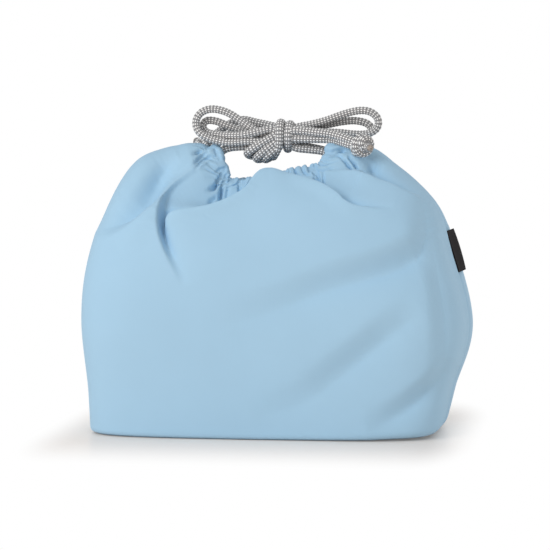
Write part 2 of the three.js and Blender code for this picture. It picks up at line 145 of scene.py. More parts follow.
# Folds: where they grow to full strength from the back to the front and down the cloth, and their edges
FOLD_SIDES = (8, -14)
FOLD_FADE = (0, 12)
CREASE_SIDES = (12, 4)
CREASE_FADE = (-14, -8)
BACK_STRENGTH = 0.8
FOLD_STEP = 4
EDGE_WIDTH = 2.2
EDGE_LIFT = 0.45

# Slight waves of the slack cloth: heights, lengths along the axes and shifts
WIDE_WAVE = 0.5
WIDE_WAVE_LENGTHS = (23, 19)
WIDE_WAVE_SHIFTS = (1.1, 0.4)
FINE_WAVE = 0.35
FINE_WAVE_LENGTHS = (11, 17, 13)
SLACK_FADE = (0, 30)

# Gathers: count, depths, half widths and lengths of the wide pleats and of the crinkles between them, then
# how they change along the cloth, and how deep they may be
GATHER_SEED = 7
WIDE_PLEATS = (36, (1.2, 3.4), (0.5, 1.0), (4, 11))
FINE_PLEATS = (64, (0.3, 0.9), (0.3, 0.5), (2, 6))
PLEAT_SHIFT = 0.36
PLEAT_SLANT = 0.25
PLEAT_SPREAD = 40
PLEAT_SHOULDER = 0.4
PLEAT_SHOULDER_WIDTH = 2.6
PLEAT_TOP_FADE = (-24, -12)
PLEAT_ON_CASING = 0.5
PLEAT_CASING_FADE = (-6, 3)
PLEAT_SIDE_CALM = 0.6
PLEAT_SIDE_WIDTH = 5
PLEAT_LIMIT = 1.1
PLEAT_LIMIT_INSIDE = 0.5
PLEAT_INSIDE_FADE = (-17, -11)
PLEAT_LIMIT_WALL = 4
PLEAT_WALL_FADE = (1, 8)

# Cord, as in the frame, and the way that its width lies
CORD = 4.2
CORD_WIDTH = 4.5
CORD_HEIGHT = 3.9
LANE = 2.3
BRAID_ROWS = 10
BRAID_STITCH = 1.7
BRAID_STEPS = 4
BRAID_RELIEF = 0.26
BRAID_LEVEL = 0.4
CAP_UV = (0.5, 0)
LOOP_ACROSS = (0, 1, 0)
TAIL_ACROSS = (0, 0.5, 0.85)
LEAD_ACROSS = (0.05, 1, 0.35)

# Cord inside the casing: the casing's rows on both sides of it, and where it begins and ends
RUN_HIGH = (5, 25)
RUN_LOW = (1, 29)
RUN_EVENING = 15
RUN_START = 0.75
RUN_STRIDE = 10
RUN_SIZE = {"width": 2.6, "height": 1.6}

# Bow knot
KNOT = np.array([4.0, 0.0, 158.5])
KNOT_HALF_LENGTH = 9
KNOT_RADIUS = 8.5
KNOT_FACE_GAP = 0.3
KNOT_HIDDEN = np.array([0.4, 0.82, 0.7])
WRAP_MIDDLE = np.array([0, -0.3, 158.4])
FAN_MIDDLE = np.array([-2, 1, 153])
CORE_ROUTE = [(-3.6, 0, 158.2), (4, 0, 158.4), (11.4, 0, 158.6)]
CORE_SIZE = {"width": 10, "height": 11.6}

# Stopper knots: a coil that is tucked in at both ends, round a core, and the melted end of the cord
END_KNOT_RADIUS = 6.3
END_FACE_GAP = 0.6
RIGHT_END = np.array([48.3, -16.37, 153.85])
RIGHT_END_AXIS = (0.62, -0.72, -0.16)
RIGHT_TAIL_TURN = (32, -9.8, 157.3)
LEFT_END = np.array([-41.34, 16.57, 151.95])
LEFT_END_AXIS = (-0.75, 0.35, 0.5)
LEFT_TAIL_TURN = (-27.5, 11.1, 161.9)
TAIL_TUCK = 0.45
COIL_STEPS = 34
COIL_TURNS = 2.1
COIL_RADII = (4.6, 4.1)
COIL_TUCKS = ((0.86, 1, 3), (0.1, 0, 2.6))
COIL_ENDS = (-3.2, 2.8)
COIL_LIFT = np.array([0, 0, 0.05])
STUB_START = 5
STUB_END = 7.4
END_CORE_PLACES = (-4.2, 0, 4)
END_CORE_FACING = (0, 0.1, 1)
END_CORE_SIZE = {"width": 6.6, "height": 6.6}
TIP_RINGS = 12
TIP_SIDES = 24
TIP_SUNK = 0.3
TIP_LENGTH = 1.5
TIP_HALF_WIDTH = 2
TIP_HALF_HEIGHT = 1.75
TIP_BLUNTNESS = 1.02
TIP_UNEVENNESS = 0.06

# Label
LABEL_LENGTH = 23
LABEL_WIDTH = 9
LABEL_SEWN = 2.6
LABEL_LEAN = 75
LABEL_SEAM = np.array([95.82, 0, 97.29])
LABEL_AXIS = (-0.293, 0, 0.9561)
LABEL_HALF_GAP = 0.36
LABEL_HALF_PLY = 0.16
LABEL_BOW = 0.5
LABEL_STEPS = 24
LABEL_TURN_STEPS = 13
LABEL_ROWS = 60
LABEL_UV_STEP = 0.4

# Display colours
CLOTH_COLOUR = (170, 207, 232)
CASING_COLOUR = (168, 205, 231)
TAPE_COLOUR = (140, 176, 200)
YARN_COLOURS = ((255, 255, 254), (150, 150, 152))
# Dark grey painted into the gaps between the yarns as shade
PAINTED_GAP_SHADE_COLOUR = (48, 48, 51)
MELTED_COLOURS = ((118, 104, 94), (192, 182, 172))
RIBBON_COLOURS = ((15, 13, 14), (34, 31, 33))

# Studio, in metres: lamps with their place, size and power, and the floor, white where it is far from the bag
WORLD_LIGHT = 0.55
KEY_LAMP = ((-0.8, -1.2, 0.65), 0.8, 10.2)
FILL_LAMP = ((1.4, 0.3, 0.35), 0.8, 3.3)
LAMP_TARGET = np.array([0, 0, 0.09])
FLOOR_COLOUR = (0.97, 0.88, 0.815, 1)
FLOOR_SIZE = 40
FLOOR_SHIFT = (-0.006, 0, 0)
FLOOR_WHITENESS = 0.12
SHADOW_BOX = (0.09, 0.05, 0)
SHADOW_SQUEEZE = (3.4, 1, 0)
SHADOW_REACH = 0.1


def linear(red, green, blue):
    """Linear colour from an 8-bit display colour."""
    share = np.array([red, green, blue]) / 255
    low = share / 12.92
    high = ((share + 0.055) / 1.055) ** 2.4
    return (*np.where(share <= 0.04045, low, high).tolist(), 1)


def smoothstep(low, high, value):
    share = np.clip((value - low) / (high - low), 0, 1)
    return share * share * (3 - 2 * share)


def unit(vectors):
    vectors = np.asarray(vectors, dtype=float)
    return vectors / np.linalg.norm(vectors, axis=-1, keepdims=True)


def way_along(points):
    """Way along a line, or along each column of a grid, to each of its points."""
    steps = np.linalg.norm(np.diff(points, axis=0), axis=-1)
    return np.insert(np.cumsum(steps, axis=0), 0, 0, axis=0)


def path_length(points):
    return float(way_along(points)[-1])


def smooth_span(t, p0, p1, p2, p3):
    """Points of a smooth line between p1 and p2."""
    curve = 2 * p1 + (p2 - p0) * t + (2 * p0 - 5 * p1 + 4 * p2 - p3) * t**2
    return (curve + (3 * p1 - p0 - 3 * p2 + p3) * t**3) / 2


def spline(points, count):
    """Even samples along a smooth line through points."""
    points = np.asarray(points, dtype=float)
    padded = np.vstack([2 * points[0] - points[1], points, 2 * points[-1] - points[-2]])
    t = np.linspace(0, 1, SPAN_STEPS, endpoint=False)[:, None]
    spans = [smooth_span(t, *padded[i : i + 4]) for i in range(len(points) - 1)]
    fine = np.vstack([*spans, points[-1:]])
    way = way_along(fine)
    wanted = np.linspace(0, way[-1], count)
    return np.stack([np.interp(wanted, way, fine[:, k]) for k in range(points.shape[1])], axis=1)


def smooth_profile(share, values):
    """Size that varies smoothly along a line, from evenly spaced values."""
    curve = spline(np.stack([np.linspace(0, 1, len(values)), values], axis=1), CURVE_STEPS)
    return np.interp(share, curve[:, 0], curve[:, 1])


# Objects


def placed(name, data):
    """Object in the scene that holds a mesh, a lamp or a camera."""
    made = bpy.data.objects.new(name, data)
    bpy.context.scene.collection.objects.link(made)
    return made


def mesh_object(name, points, faces, uvs, shade):
    """Object from points in millimetres and faces, with a UV for each point or each corner of a face."""
    mesh = bpy.data.meshes.new(name)
    mesh.from_pydata((np.asarray(points).reshape(-1, 3) * MM).tolist(), [], faces)
    uvs = np.asarray(uvs, dtype=np.float32)
    if len(uvs) != len(mesh.loops):
        corners = np.empty(len(mesh.loops), dtype=np.int32)
        mesh.loops.foreach_get("vertex_index", corners)
        uvs = uvs[corners]
    mesh.uv_layers.new(name="surface").data.foreach_set("uv", uvs.ravel())
    mesh.polygons.foreach_set("use_smooth", [True] * len(mesh.polygons))
    mesh.update()
    mesh.materials.append(shade)
    return placed(name, mesh)


def grid_faces(rows, columns, start=0, closed=False, flip=False):
    """Quads of a grid of points that is stored row by row."""
    across = np.arange(columns if closed else columns - 1)
    up = np.arange(rows - 1)[:, None]
    a = start + up * columns + across
    b = start + up * columns + (across + 1) % columns
    quads = np.stack([a, b, b + columns, a + columns], axis=-1).reshape(-1, 4)
    return (quads[:, ::-1] if flip else quads).tolist()


def tube_faces(rings, sides):
    """Quads of a tube, then the caps at its two ends."""
    caps = [list(range(sides)), [rings * sides - 1 - i for i in range(sides)]]
    return grid_faces(rings, sides, closed=True, flip=True) + caps


def sheet_solid(name, outer, inner, uvs, shade):
    """Closed cloth piece from two grids of points."""
    rows, columns = outer.shape[:2]
    count = rows * columns
    faces = grid_faces(rows, columns) + grid_faces(rows, columns, start=count, flip=True)
    index = np.arange(count).reshape(rows, columns)
    a = np.concatenate([index[0, ::-1], index[1:, 0], index[-1, 1:], index[-2:0:-1, -1]])
    b = np.roll(a, -1)
    faces += np.stack([a, b, b + count, a + count], axis=1).tolist()
    return mesh_object(name, np.stack([outer, inner]), faces, np.tile(uvs.reshape(-1, 2), (2, 1)), shade)


def carried(piece, body, slot, *nodes):
    """Let a piece ride on a body, in place of nodes of the frame. The slot is not used."""
    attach(piece, body)
    if nodes:
        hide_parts(*nodes)
    return piece


def bridged(piece, node):
    """Bake a piece's placement into its points, in place of a node of the frame."""
    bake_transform(piece)
    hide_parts(node)


# Mouth of the pouch


def superellipse(angles, half_left, half_right, half_front, half_back, squareness):
    along = np.where(np.cos(angles) >= 0, half_right, half_left)
    across = np.where(np.sin(angles) >= 0, half_back, half_front)
    sums = np.abs(np.cos(angles) / along) ** squareness + np.abs(np.sin(angles) / across) ** squareness
    radius = sums ** (-1 / squareness)
    return radius * np.cos(angles), radius * np.sin(angles), along


def mouth_plan(angles):
    squareness = np.where(np.sin(angles) >= 0, MOUTH_BACK_SQUARENESS, MOUTH_FRONT_SQUARENESS)
    half = (MOUTH_LEFT, MOUTH_RIGHT, MOUTH_HALF_DEPTH, MOUTH_HALF_DEPTH)
    return np.stack(superellipse(angles, *half, squareness)[:2], axis=-1)


FINE_ANGLES = np.linspace(0, TAU, MOUTH_STEPS)
FINE_LENGTHS = way_along(mouth_plan(FINE_ANGLES))
MOUTH_AROUND = FINE_LENGTHS[-1]


def mouth_length(angles):
    """Way round the mouth from the right seam, over the back, in millimetres."""
    return np.interp(angles % TAU, FINE_ANGLES, FINE_LENGTHS)


def mouth_line(angles):
    """Middle line of the casing."""
    way = mouth_length(angles)
    left = mouth_length(np.array(LEFT))
    back = smooth_profile(way / left, BACK_LIP)
    front = smooth_profile((way - left) / (MOUTH_AROUND - left), FRONT_LIP)
    top = np.where(way < left, back, front)
    return np.concatenate([mouth_plan(angles), (top - CASING_HALF_HEIGHT)[..., None]], axis=-1)


def mouth_axes(angles):
    """Outward and upward directions about square to the middle line of the casing."""
    along = mouth_line(angles + AXIS_STEP) - mouth_line(angles - AXIS_STEP)
    along = unit(along * [1, 1, AXIS_SLOPE])
    outward = unit(np.stack([along[..., 1], -along[..., 0], np.zeros_like(angles)], axis=-1))
    return outward, np.cross(outward, along)


def neck_line(angles):
    """Line of stitches that closes the casing, where the pouch's wall ends. It rises towards the seams."""
    outward, upward = mouth_axes(angles)
    line = mouth_line(angles)
    side = np.maximum(line[..., :1] / MOUTH_RIGHT, -line[..., :1] / MOUTH_LEFT)
    lift = NECK_LIFT + NECK_SIDE_LIFT * side**4
    return line + outward * (CASING_HALF_WIDTH + NECK_GAP) + upward * lift


def column_angles():
    """Angles of the columns, even along a blend of the belly and the mouth, with one on each seam."""
    fine = np.linspace(0, TAU, COLUMN_STEPS)
    belly = np.stack(superellipse(fine, *SECTIONS[2, :5])[:2], axis=-1)
    total = np.zeros_like(fine)
    for line, share in zip((belly, mouth_line(fine)), COLUMN_SHARES):
        way = way_along(line)
        total += share * way / way[-1]
    middle = np.interp(LEFT, fine, total)
    first = np.linspace(0, middle, HALF_COLUMNS, endpoint=False)
    second = np.linspace(middle, 1, HALF_COLUMNS, endpoint=False)
    return np.interp(np.concatenate([first, second]), total, fine)


ANGLES = column_angles()


# Wall and casing before they are creased


def section_points(values, front_heights=None):
    left, right, front, back, squareness, z_left, z_right, z_front, z_back = values
    x, y, along = superellipse(ANGLES, left, right, front, back, squareness)
    side = np.where(np.cos(ANGLES) >= 0, z_right, z_left)
    middle = np.where(np.sin(ANGLES) >= 0, z_back, z_front)
    z = middle + (side - middle) * (x / along) ** 2
    if front_heights:
        z = np.where(np.sin(ANGLES) >= 0, z, smooth_profile((x / along + 1) / 2, front_heights))
    return np.stack([x, y, z], axis=-1)


def casing_section(share):
    """Place across the casing, from 0 to 1: up its outside, over its top and down its inside."""
    straight = CASING_HALF_HEIGHT - CASING_HALF_WIDTH
    arc = math.pi * CASING_HALF_WIDTH
    outside = 2 * straight
    run = share * (outside + arc + 2 * straight + CASING_TUCK)
    turn = np.clip((run - outside) / CASING_HALF_WIDTH, 0, math.pi)
    out = CASING_HALF_WIDTH * np.cos(turn)
    up = straight + CASING_HALF_WIDTH * np.sin(turn)
    up = np.where(run < outside, -straight + run, up)
    return out, np.where(run > outside + arc, straight - (run - outside - arc), up), run


def plain_casing():
    """Casing before it is gathered. Its inside is cut short at the side seams, where the cords come out."""
    outward, upward = mouth_axes(ANGLES)
    line = mouth_line(ANGLES)
    half = CASING_SLOT / 2
    opening = smoothstep(half + SLOT_MARGIN, half - SLOT_ROUNDING, np.abs(line[:, 1]))
    reach = 1 - SLOT_CUT * opening
    out, up, run = casing_section(np.linspace(0, 1, CASING_ROWS)[:, None] * reach)
    points = line + outward * out[..., None] + upward * up[..., None]
    start = smoothstep(CASING_JOIN, 0, run)[..., None]
    return points * (1 - start) + (neck_line(ANGLES) + points - points[:1]) * start


def plain_cloth():
    """Cloth row by row from the floor to the casing's inner edge."""
    fronts = [None] * (len(SECTIONS) - 2) + [CROWN_FRONT, COLLAR_FRONT]
    levels = [section_points(values, front) for values, front in zip(SECTIONS, fronts)]
    levels = np.stack([*levels, neck_line(ANGLES)])
    padded = np.concatenate([levels[:1], levels, 2 * levels[-1:] - levels[-2:-1]])
    spans = []
    for i, count in enumerate(ROWS_PER_SECTION):
        t = np.linspace(0, 1, count, endpoint=False)[:, None, None]
        spans.append(smooth_span(t, *padded[i : i + 4]))
    return soften_neck(np.concatenate([*spans, plain_casing()]))


def soften_neck(cloth):
    """Round the corner where the wall turns up into the casing."""
    row = np.arange(1, len(cloth) - 1)
    weight = np.exp(-(((row - NECK_ROW) / NECK_SOFTNESS) ** 2))[:, None, None]
    for _ in range(NECK_PASSES):
        even = (cloth[:-2] + cloth[2:]) / 2
        cloth[1:-1] += NECK_EVENING * weight * (even - cloth[1:-1])
    return cloth


def grid_normals(points):
    """Outward normals of a wall whose columns close on themselves."""
    along = np.roll(points, -1, axis=1) - np.roll(points, 1, axis=1)
    return unit(np.cross(along, np.gradient(points, axis=0)))


# Folds, drawn on the plane of the photograph in millimetres: to the right, and up


def view_plane(points):
    """Place of a point in the photograph's view, in millimetres of the bag's front."""
    depth = points[..., 1] - FRONT_PLANE
    across = points[..., 0] + depth * math.tan(math.radians(VIEW_AZIMUTH))
    up = points[..., 2] + depth * math.tan(math.radians(VIEW_ELEVATION))
    return across, up


def along_line(plane, rows):
    """Nearest place on a fold's line: the distance to it, under 0 on its right, the way to its left, and the
    sizes given along the line."""
    across, up = plane
    rows = np.array(rows, dtype=float)
    line = spline(rows[:, :2], 10 + round(path_length(rows[:, :2]) / FOLD_STEP))
    best = np.full(across.shape, np.inf)
    share, signed, left_x, left_y = (np.zeros(across.shape) for _ in range(4))
    for i in range(len(line) - 1):
        (ax, ay), (bx, by) = line[i], line[i + 1]
        dx, dy = bx - ax, by - ay
        length = math.hypot(dx, dy)
        t = np.clip(((across - ax) * dx + (up - ay) * dy) / length**2, 0, 1)
        gap_x, gap_y = across - ax - t * dx, up - ay - t * dy
        distance = np.hypot(gap_x, gap_y)
        near = distance < best
        best = np.where(near, distance, best)
        share = np.where(near, (i + t) / (len(line) - 1), share)
        signed = np.where(near, np.where(dx * gap_y - dy * gap_x >= 0, distance, -distance), signed)
        left_x = np.where(near, -dy / length, left_x)
        left_y = np.where(near, dx / length, left_y)
    way = way_along(rows[:, :2])
    sizes = [np.interp(share, way / way[-1], rows[:, k]) for k in range(2, rows.shape[1])]
    return signed, left_x, left_y, *sizes


def groove(plane, rows):
    """Rounded valley along a line, or a rounded ridge where its depths are under 0."""
    signed, _, _, depth, width = along_line(plane, rows)
    return -depth * np.exp(-((signed / width) ** 2))


def overlap(plane, rows, crisp, reach, tuck):
    """Fold along a line: the cloth on its left dips behind the cloth on its right, which hangs a little over
    it where it is tucked. Without a reach, the dip's reach is given along the line. Gives how far the cloth
    goes out, right and up."""
    signed, left_x, left_y, depth, *reaches = along_line(plane, rows)
    reach = reach or reaches[0]
    step = smoothstep(-crisp, crisp, signed)
    out = -depth * step * np.exp(-np.maximum(signed - crisp, 0) / reach)
    edge = depth * (1 - step) * np.exp(-(((signed + crisp) / (EDGE_WIDTH * crisp)) ** 2))
    return out + EDGE_LIFT * tuck * edge, tuck * edge * left_x, tuck * edge * left_y


# Folds whose edge hangs over: across, up, depth and, on the pocket's edge, reach. The front one runs from the
# pocket at its left, along its top and down to the right
FRONT_FOLD = [
    (-53, 110, 0), (-53.2, 114, 1.6), (-52, 117.8, 3.4), (-48.4, 120, 4.4), (-42, 121, 4.6),
    (-35, 122, 4.2), (-27, 123.8, 4), (-18, 127.2, 4), (-11, 131, 4), (-7.4, 134.6, 3.4),
    (-5.2, 138.6, 2.6), (-1.5, 142.6, 1.4), (3, 144, 0.6), (11, 141.6, 1.6), (21.5, 138, 3.6),
    (30, 134.6, 4.8), (38, 130, 4.8), (41, 127.2, 4.2), (46.5, 124.4, 3.2), (54, 123.4, 1.8),
    (69, 122, 0),
]
POCKET_EDGE = [
    (-34.6, 144.6, 0.4, 9), (-42.7, 140.1, 2, 10), (-48.6, 136.1, 3.4, 10), (-52.9, 131.2, 4.8, 9),
    (-55.4, 125.8, 6.4, 7), (-56.8, 120.4, 8, 4.5), (-57.1, 115.6, 8.6, 3.2), (-56.4, 110.2, 8, 3),
    (-54.8, 105.3, 6.4, 3.2), (-52.4, 99.9, 4.4, 4), (-49.1, 94, 2.6, 5), (-45.4, 87.5, 1.2, 6),
    (-42, 81, 0, 7),
]
LEFT_ROLL = [
    (-90, 106, 0), (-82, 110, 2.4), (-74.5, 114.5, 4.4), (-68, 119.3, 5.8), (-60, 127.5, 6.2),
    (-52.5, 136.5, 5.2), (-45, 141.5, 3.4), (-37, 145, 0.6),
]
RIGHT_ROLL = [
    (36, 145, 0.8), (48, 144.8, 3.6), (54, 142.7, 5.2), (65, 138.5, 5.8), (73, 134.6, 4.8),
    (81, 131.2, 2.6), (90, 126.5, 0),
]

# Soft folds of the slack cloth on the right, each drawn from its upper end: across, up and depth
RIGHT_FOLD = [
    (75, 127, 0), (79.6, 119, 2.8), (81.4, 112.6, 5.2), (79.6, 105.4, 7), (73.6, 101, 7.4), (61, 95.6, 7),
    (44, 90.4, 6), (27.5, 85.2, 4.6), (14, 79.8, 3.2), (-7.6, 72, 1.6), (-31.9, 68, 0),
]
LOW_FOLD = [
    (79, 75, 0), (70, 68, 2.8), (58, 58, 4.6), (47.4, 49.2, 4.8), (36.2, 40.6, 4), (22.6, 30, 2.6),
    (9, 23.4, 1.4), (-8, 19, 0),
]
CORNER_FOLD = [(98, 46, 0), (91, 36, 3.4), (84, 29, 5.4), (76.6, 23.4, 5.2), (65.4, 17, 3.4), (52, 12, 0)]
SIDE_FOLD = [
    (84, 110, 0), (87, 100, 2), (89.4, 86, 4), (91, 71, 4.4), (91.6, 56, 4), (91, 42, 2), (90, 30, 0),
]

# How crisp each fold is, its reach, and how far it hangs over
FOLDS = (
    (FRONT_FOLD, 1.6, 11, 0.45),
    (POCKET_EDGE, 1.9, None, 0.25),
    (LEFT_ROLL, 3.6, 9, 0),
    (RIGHT_ROLL, 2.6, 12, 0.15),
    (RIGHT_FOLD, 8, 12, 0),
    (LOW_FOLD, 8, 16, 0),
    (CORNER_FOLD, 6.5, 8, 0),
    (SIDE_FOLD, 6.5, 13, 0),
)

# Rounded valleys and ridges: across, up, depth and half width
LEFT_BAND = [
    (-80, 104, 0, 6), (-70, 110, -1.2, 6), (-63, 118, -2, 6), (-57, 127, -2, 6), (-49, 136, -0.8, 5),
]
LEFT_SHOULDER = [
    (-47, 153, 1, 5), (-54.5, 147, 5, 5.5), (-60.5, 138, 5.2, 5.5), (-68, 128, 4, 5.5),
    (-77, 118.6, 2.4, 5.5), (-87, 110, 0, 5.5),
]
RIGHT_HOLLOW = [(55, 155, 2.4, 4), (59.5, 149, 6, 4.5), (63, 142, 1.4, 5)]
VALLEYS = (LEFT_BAND, LEFT_SHOULDER, RIGHT_HOLLOW)

# Creases that run from the casing down into the wall, first those on the left: across, up, depth, half width
CREASES = (
    [(-37.5, 152.4, 0.8, 1.17), (-34.5, 153.8, 3.2, 1.09), (-31, 155, 1, 1.01)],
    [(-37.6, 146.4, 0.5, 0.94), (-34.6, 149.8, 2.8, 0.86), (-30.4, 153, 1.2, 0.86)],
    [
        (-36.4, 144.4, 0.5, 0.94), (-33.8, 148, 2.5, 0.86), (-30.6, 150, 2.4, 0.86),
        (-25.6, 150.2, 1.5, 0.78),
    ],
    [(-26.7, 155, 1.2, 0.94), (-25.4, 152.3, 2.2, 0.94), (-23.8, 149.4, 1.5, 0.78)],
    [(-25.4, 142, 0.8, 0.86), (-23.4, 143, 3, 0.86), (-21, 143.8, 2, 0.78)],
    [
        (-29.5, 133.4, 0.6, 1.25), (-25.6, 135.4, 4, 1.09), (-23.6, 138.4, 4.2, 0.94),
        (-21.6, 142.4, 2.5, 0.78),
    ],
    [(-26, 125.6, 1, 1.17), (-23.6, 129, 4, 1.09), (-22, 134, 4.5, 1.01), (-20.4, 140, 2.8, 0.78)],
    [(-29.4, 127.6, 0.5, 1.09), (-27.6, 128.8, 2.2, 1.01), (-25.4, 130.2, 1.8, 0.94)],
    [(-22.4, 127.2, 0.5, 1.01), (-20.2, 130.6, 2.2, 1.01), (-18.8, 134.4, 1.5, 0.94)],
    [(-19.4, 136.2, 1.2, 0.78), (-17.8, 138.4, 3, 0.78), (-16.2, 141, 2.2, 0.7)],
    [(-12.2, 130.8, 1.5, 0.78), (-13, 134.6, 4, 0.78), (-12.6, 139, 3, 0.7)],
    [(-11.2, 135.8, 1.8, 0.7), (-10.6, 139.4, 2.8, 0.7)],
    [(24.4, 142.2, 1.5, 0.7), (23.8, 145.6, 2.2, 0.7)],
    [(26.8, 140.8, 1.5, 0.7), (25.8, 145, 2.2, 0.7)],
    [(33.4, 134, 1.8, 0.94), (30.4, 137, 4.5, 0.94), (28.4, 141, 4.5, 0.94), (27.4, 145.4, 2.8, 0.78)],
    [(33, 135.8, 1, 0.78), (31.8, 139.4, 2.2, 0.78), (31.4, 143, 0.8, 0.78)],
    [(46.6, 144.4, 1, 0.94), (44.6, 147.4, 3, 0.94), (42.4, 150, 1.8, 0.86)],
    [(49.6, 146, 1.2, 1.01), (47.8, 149, 3.5, 1.01), (45.4, 151.8, 1.8, 0.94)],
    [(37.6, 153, 0.8, 0.94), (41, 154, 3.2, 1.01), (44.4, 154.8, 1, 0.94)],
    [(37, 150.4, 0.8, 0.86), (39.6, 151.6, 2, 0.86), (42.6, 150, 0.8, 0.86)],
)


def front_moves(points, folds, grooves):
    """How far folds and grooves move the cloth of the front: out, to the right and up."""
    plane = view_plane(points)
    moves = np.zeros((3, *points.shape[:2]))
    for fold in folds:
        moves += overlap(plane, *fold)
    moves[0] += sum(groove(plane, rows) for rows in grooves)
    return moves


def both_sides(cloth, none, full, folds, grooves):
    """Moves of the front, and a weaker set of them turned half a turn on the back. They grow from none to
    full strength between two places from the back to the front."""
    moves = np.zeros((3, *cloth.shape[:2]))
    front = cloth[..., 1].min(axis=0) < none
    weight = smoothstep(none, full, cloth[:, front, 1])
    moves[:, :, front] += front_moves(cloth[:, front], folds, grooves) * weight
    back = cloth[..., 1].max(axis=0) > -none
    weight = BACK_STRENGTH * smoothstep(-none, -full, cloth[:, back, 1])
    out, right, up = front_moves(cloth[:, back] * HALF_TURN, folds, grooves) * weight
    moves[:, :, back] += [out, -right, up]
    return moves


# Gathers at the neck


def gather_pleats(chance, count, depth, width, length):
    """Places along the mouth, depths, half widths, lengths and slants of the pleats, in millimetres."""
    places = (np.arange(count) + chance.uniform(-PLEAT_SHIFT, PLEAT_SHIFT, count)) * MOUTH_AROUND / count
    sizes = [chance.uniform(*limits, count) for limits in (depth, width, length)]
    slants = chance.uniform(-PLEAT_SLANT, PLEAT_SLANT, count)
    return list(zip(places, *sizes, slants))


def gathers(below):
    """Depth of the pleats at a distance below the neck, under 0 up the casing. below is rows by columns."""
    chance = np.random.default_rng(GATHER_SEED)
    pleats = gather_pleats(chance, *WIDE_PLEATS) + gather_pleats(chance, *FINE_PLEATS)
    place = mouth_length(ANGLES)
    moved = np.zeros(below.shape)
    wall = np.maximum(below, 0)
    strength = PLEAT_ON_CASING + (1 - PLEAT_ON_CASING) * smoothstep(*PLEAT_CASING_FADE, below)
    side = np.exp(-((mouth_plan(ANGLES)[:, 1] / PLEAT_SIDE_WIDTH) ** 2))
    strength = strength * (1 - PLEAT_SIDE_CALM * side) * smoothstep(*PLEAT_TOP_FADE, below)
    for middle, depth, width, length, slant in pleats:
        gap = (place - middle - slant * wall + MOUTH_AROUND / 2) % MOUTH_AROUND - MOUTH_AROUND / 2
        share = gap / (width * (1 + wall / PLEAT_SPREAD))
        fold = PLEAT_SHOULDER * np.exp(-((share / PLEAT_SHOULDER_WIDTH) ** 2)) - np.exp(-(share**2))
        moved += depth * fold * np.exp(-((wall / length) ** 2)) * strength
    return moved


# Cloth with folds, gathers, seams and a rounded foot


def below_neck(cloth):
    """Way along the cloth from the neck down, under 0 up the casing."""
    way = way_along(cloth)
    return way[NECK_ROW] - way


def round_foot(cloth, normals):
    """Curl the lowest cloth in under the bag."""
    change = smoothstep(*ROUNDING_CHANGE, cloth[..., 0])
    radius = LEFT_ROUNDING + (RIGHT_ROUNDING - LEFT_ROUNDING) * change
    height = cloth[..., 2] - cloth[:1, :, 2]
    foot = np.clip(1 - height / radius, 0, 1)
    inset = radius * (1 - np.sqrt(np.maximum(1 - foot**2, 0)))
    level = unit(normals * [1, 1, 0] + [1e-6, 0, 0])
    cloth -= level * inset[..., None]
    cloth[..., 2] = np.maximum(cloth[..., 2], FLOOR_GAP)
    return cloth


def neck_moves(plain, below):
    """Gathers and creases at the neck, no deeper than the cloth around them allows."""
    moved = gathers(below)
    creased = slice(NECK_ROW - CREASED_ROWS, None)
    creases = both_sides(plain[creased], *CREASE_SIDES, (), CREASES)[0]
    moved[creased] += creases * smoothstep(*CREASE_FADE, below[creased])
    inside = smoothstep(*PLEAT_INSIDE_FADE, below)
    limit = PLEAT_LIMIT_INSIDE + (PLEAT_LIMIT - PLEAT_LIMIT_INSIDE) * inside
    return np.maximum(moved, -limit - PLEAT_LIMIT_WALL * smoothstep(*PLEAT_WALL_FADE, below))


def slack_waves(points):
    """Slight unevenness of the slack cloth."""
    x, z = points[..., 0], points[..., 2]
    (length_x, length_z), (shift_x, shift_z) = WIDE_WAVE_LENGTHS, WIDE_WAVE_SHIFTS
    wide = WIDE_WAVE * np.sin(x / length_x + shift_x) * np.sin(z / length_z + shift_z)
    fine = FINE_WAVE * np.sin((points / FINE_WAVE_LENGTHS).sum(axis=-1))
    return (wide + fine) * smoothstep(*SLACK_FADE, z)


def cloth_points():
    """Cloth of the wall and casing with all its forms."""
    plain = plain_cloth()
    normals = grid_normals(plain)
    below = below_neck(plain)
    keep = smoothstep(*FOLD_FADE, below)
    moved, aside, raised = both_sides(plain, *FOLD_SIDES, FOLDS, VALLEYS) * keep
    moved += neck_moves(plain, below) + slack_waves(plain) * keep
    moved -= SEAM_DEPTH * np.exp(-((plain[..., 1] / SEAM_WIDTH) ** 2)) * smoothstep(*SEAM_FADE, below)
    made = plain + normals * moved[..., None]
    made[..., 0] += aside
    made[..., 2] += raised
    return round_foot(made, normals)


def cloth_uvs(points):
    """Place on the flat cloth in millimetres: along the belly, and up the wall."""
    rows, columns = points.shape[:2]
    return np.stack(np.meshgrid(way_along(points[rows // 3]), way_along(points[:, columns // 2])), axis=-1)


def build_cloth(wall_shade, casing_shade):
    """Front and back panels from seam to seam, each with the casing that is turned at its top."""
    cloth = cloth_points()
    thickness = np.where(np.arange(len(cloth)) <= NECK_ROW, CLOTH_THICKNESS, CASING_THICKNESS)
    inside = cloth - grid_normals(cloth) * thickness[:, None, None]
    wall, casing = slice(0, NECK_ROW + 1), slice(NECK_ROW, None)
    for name, start in (("front", HALF_COLUMNS), ("back", 0)):
        columns = np.arange(start, start + HALF_COLUMNS + 1) % CLOTH_COLUMNS
        outer, inner = cloth[:, columns], inside[:, columns]
        uvs = cloth_uvs(outer)
        panel = sheet_solid(f"{name}_panel_cloth", outer[wall], inner[wall], uvs[wall], wall_shade)
        carried(panel, "pouch", "cloth", f"{name}_panel")
        hem = sheet_solid(f"{name}_casing_cloth", outer[casing], inner[casing], uvs[casing], casing_shade)
        carried(hem, "pouch", "casing_cloth", f"{name}_casing")
    return cloth[wall], inside[casing]


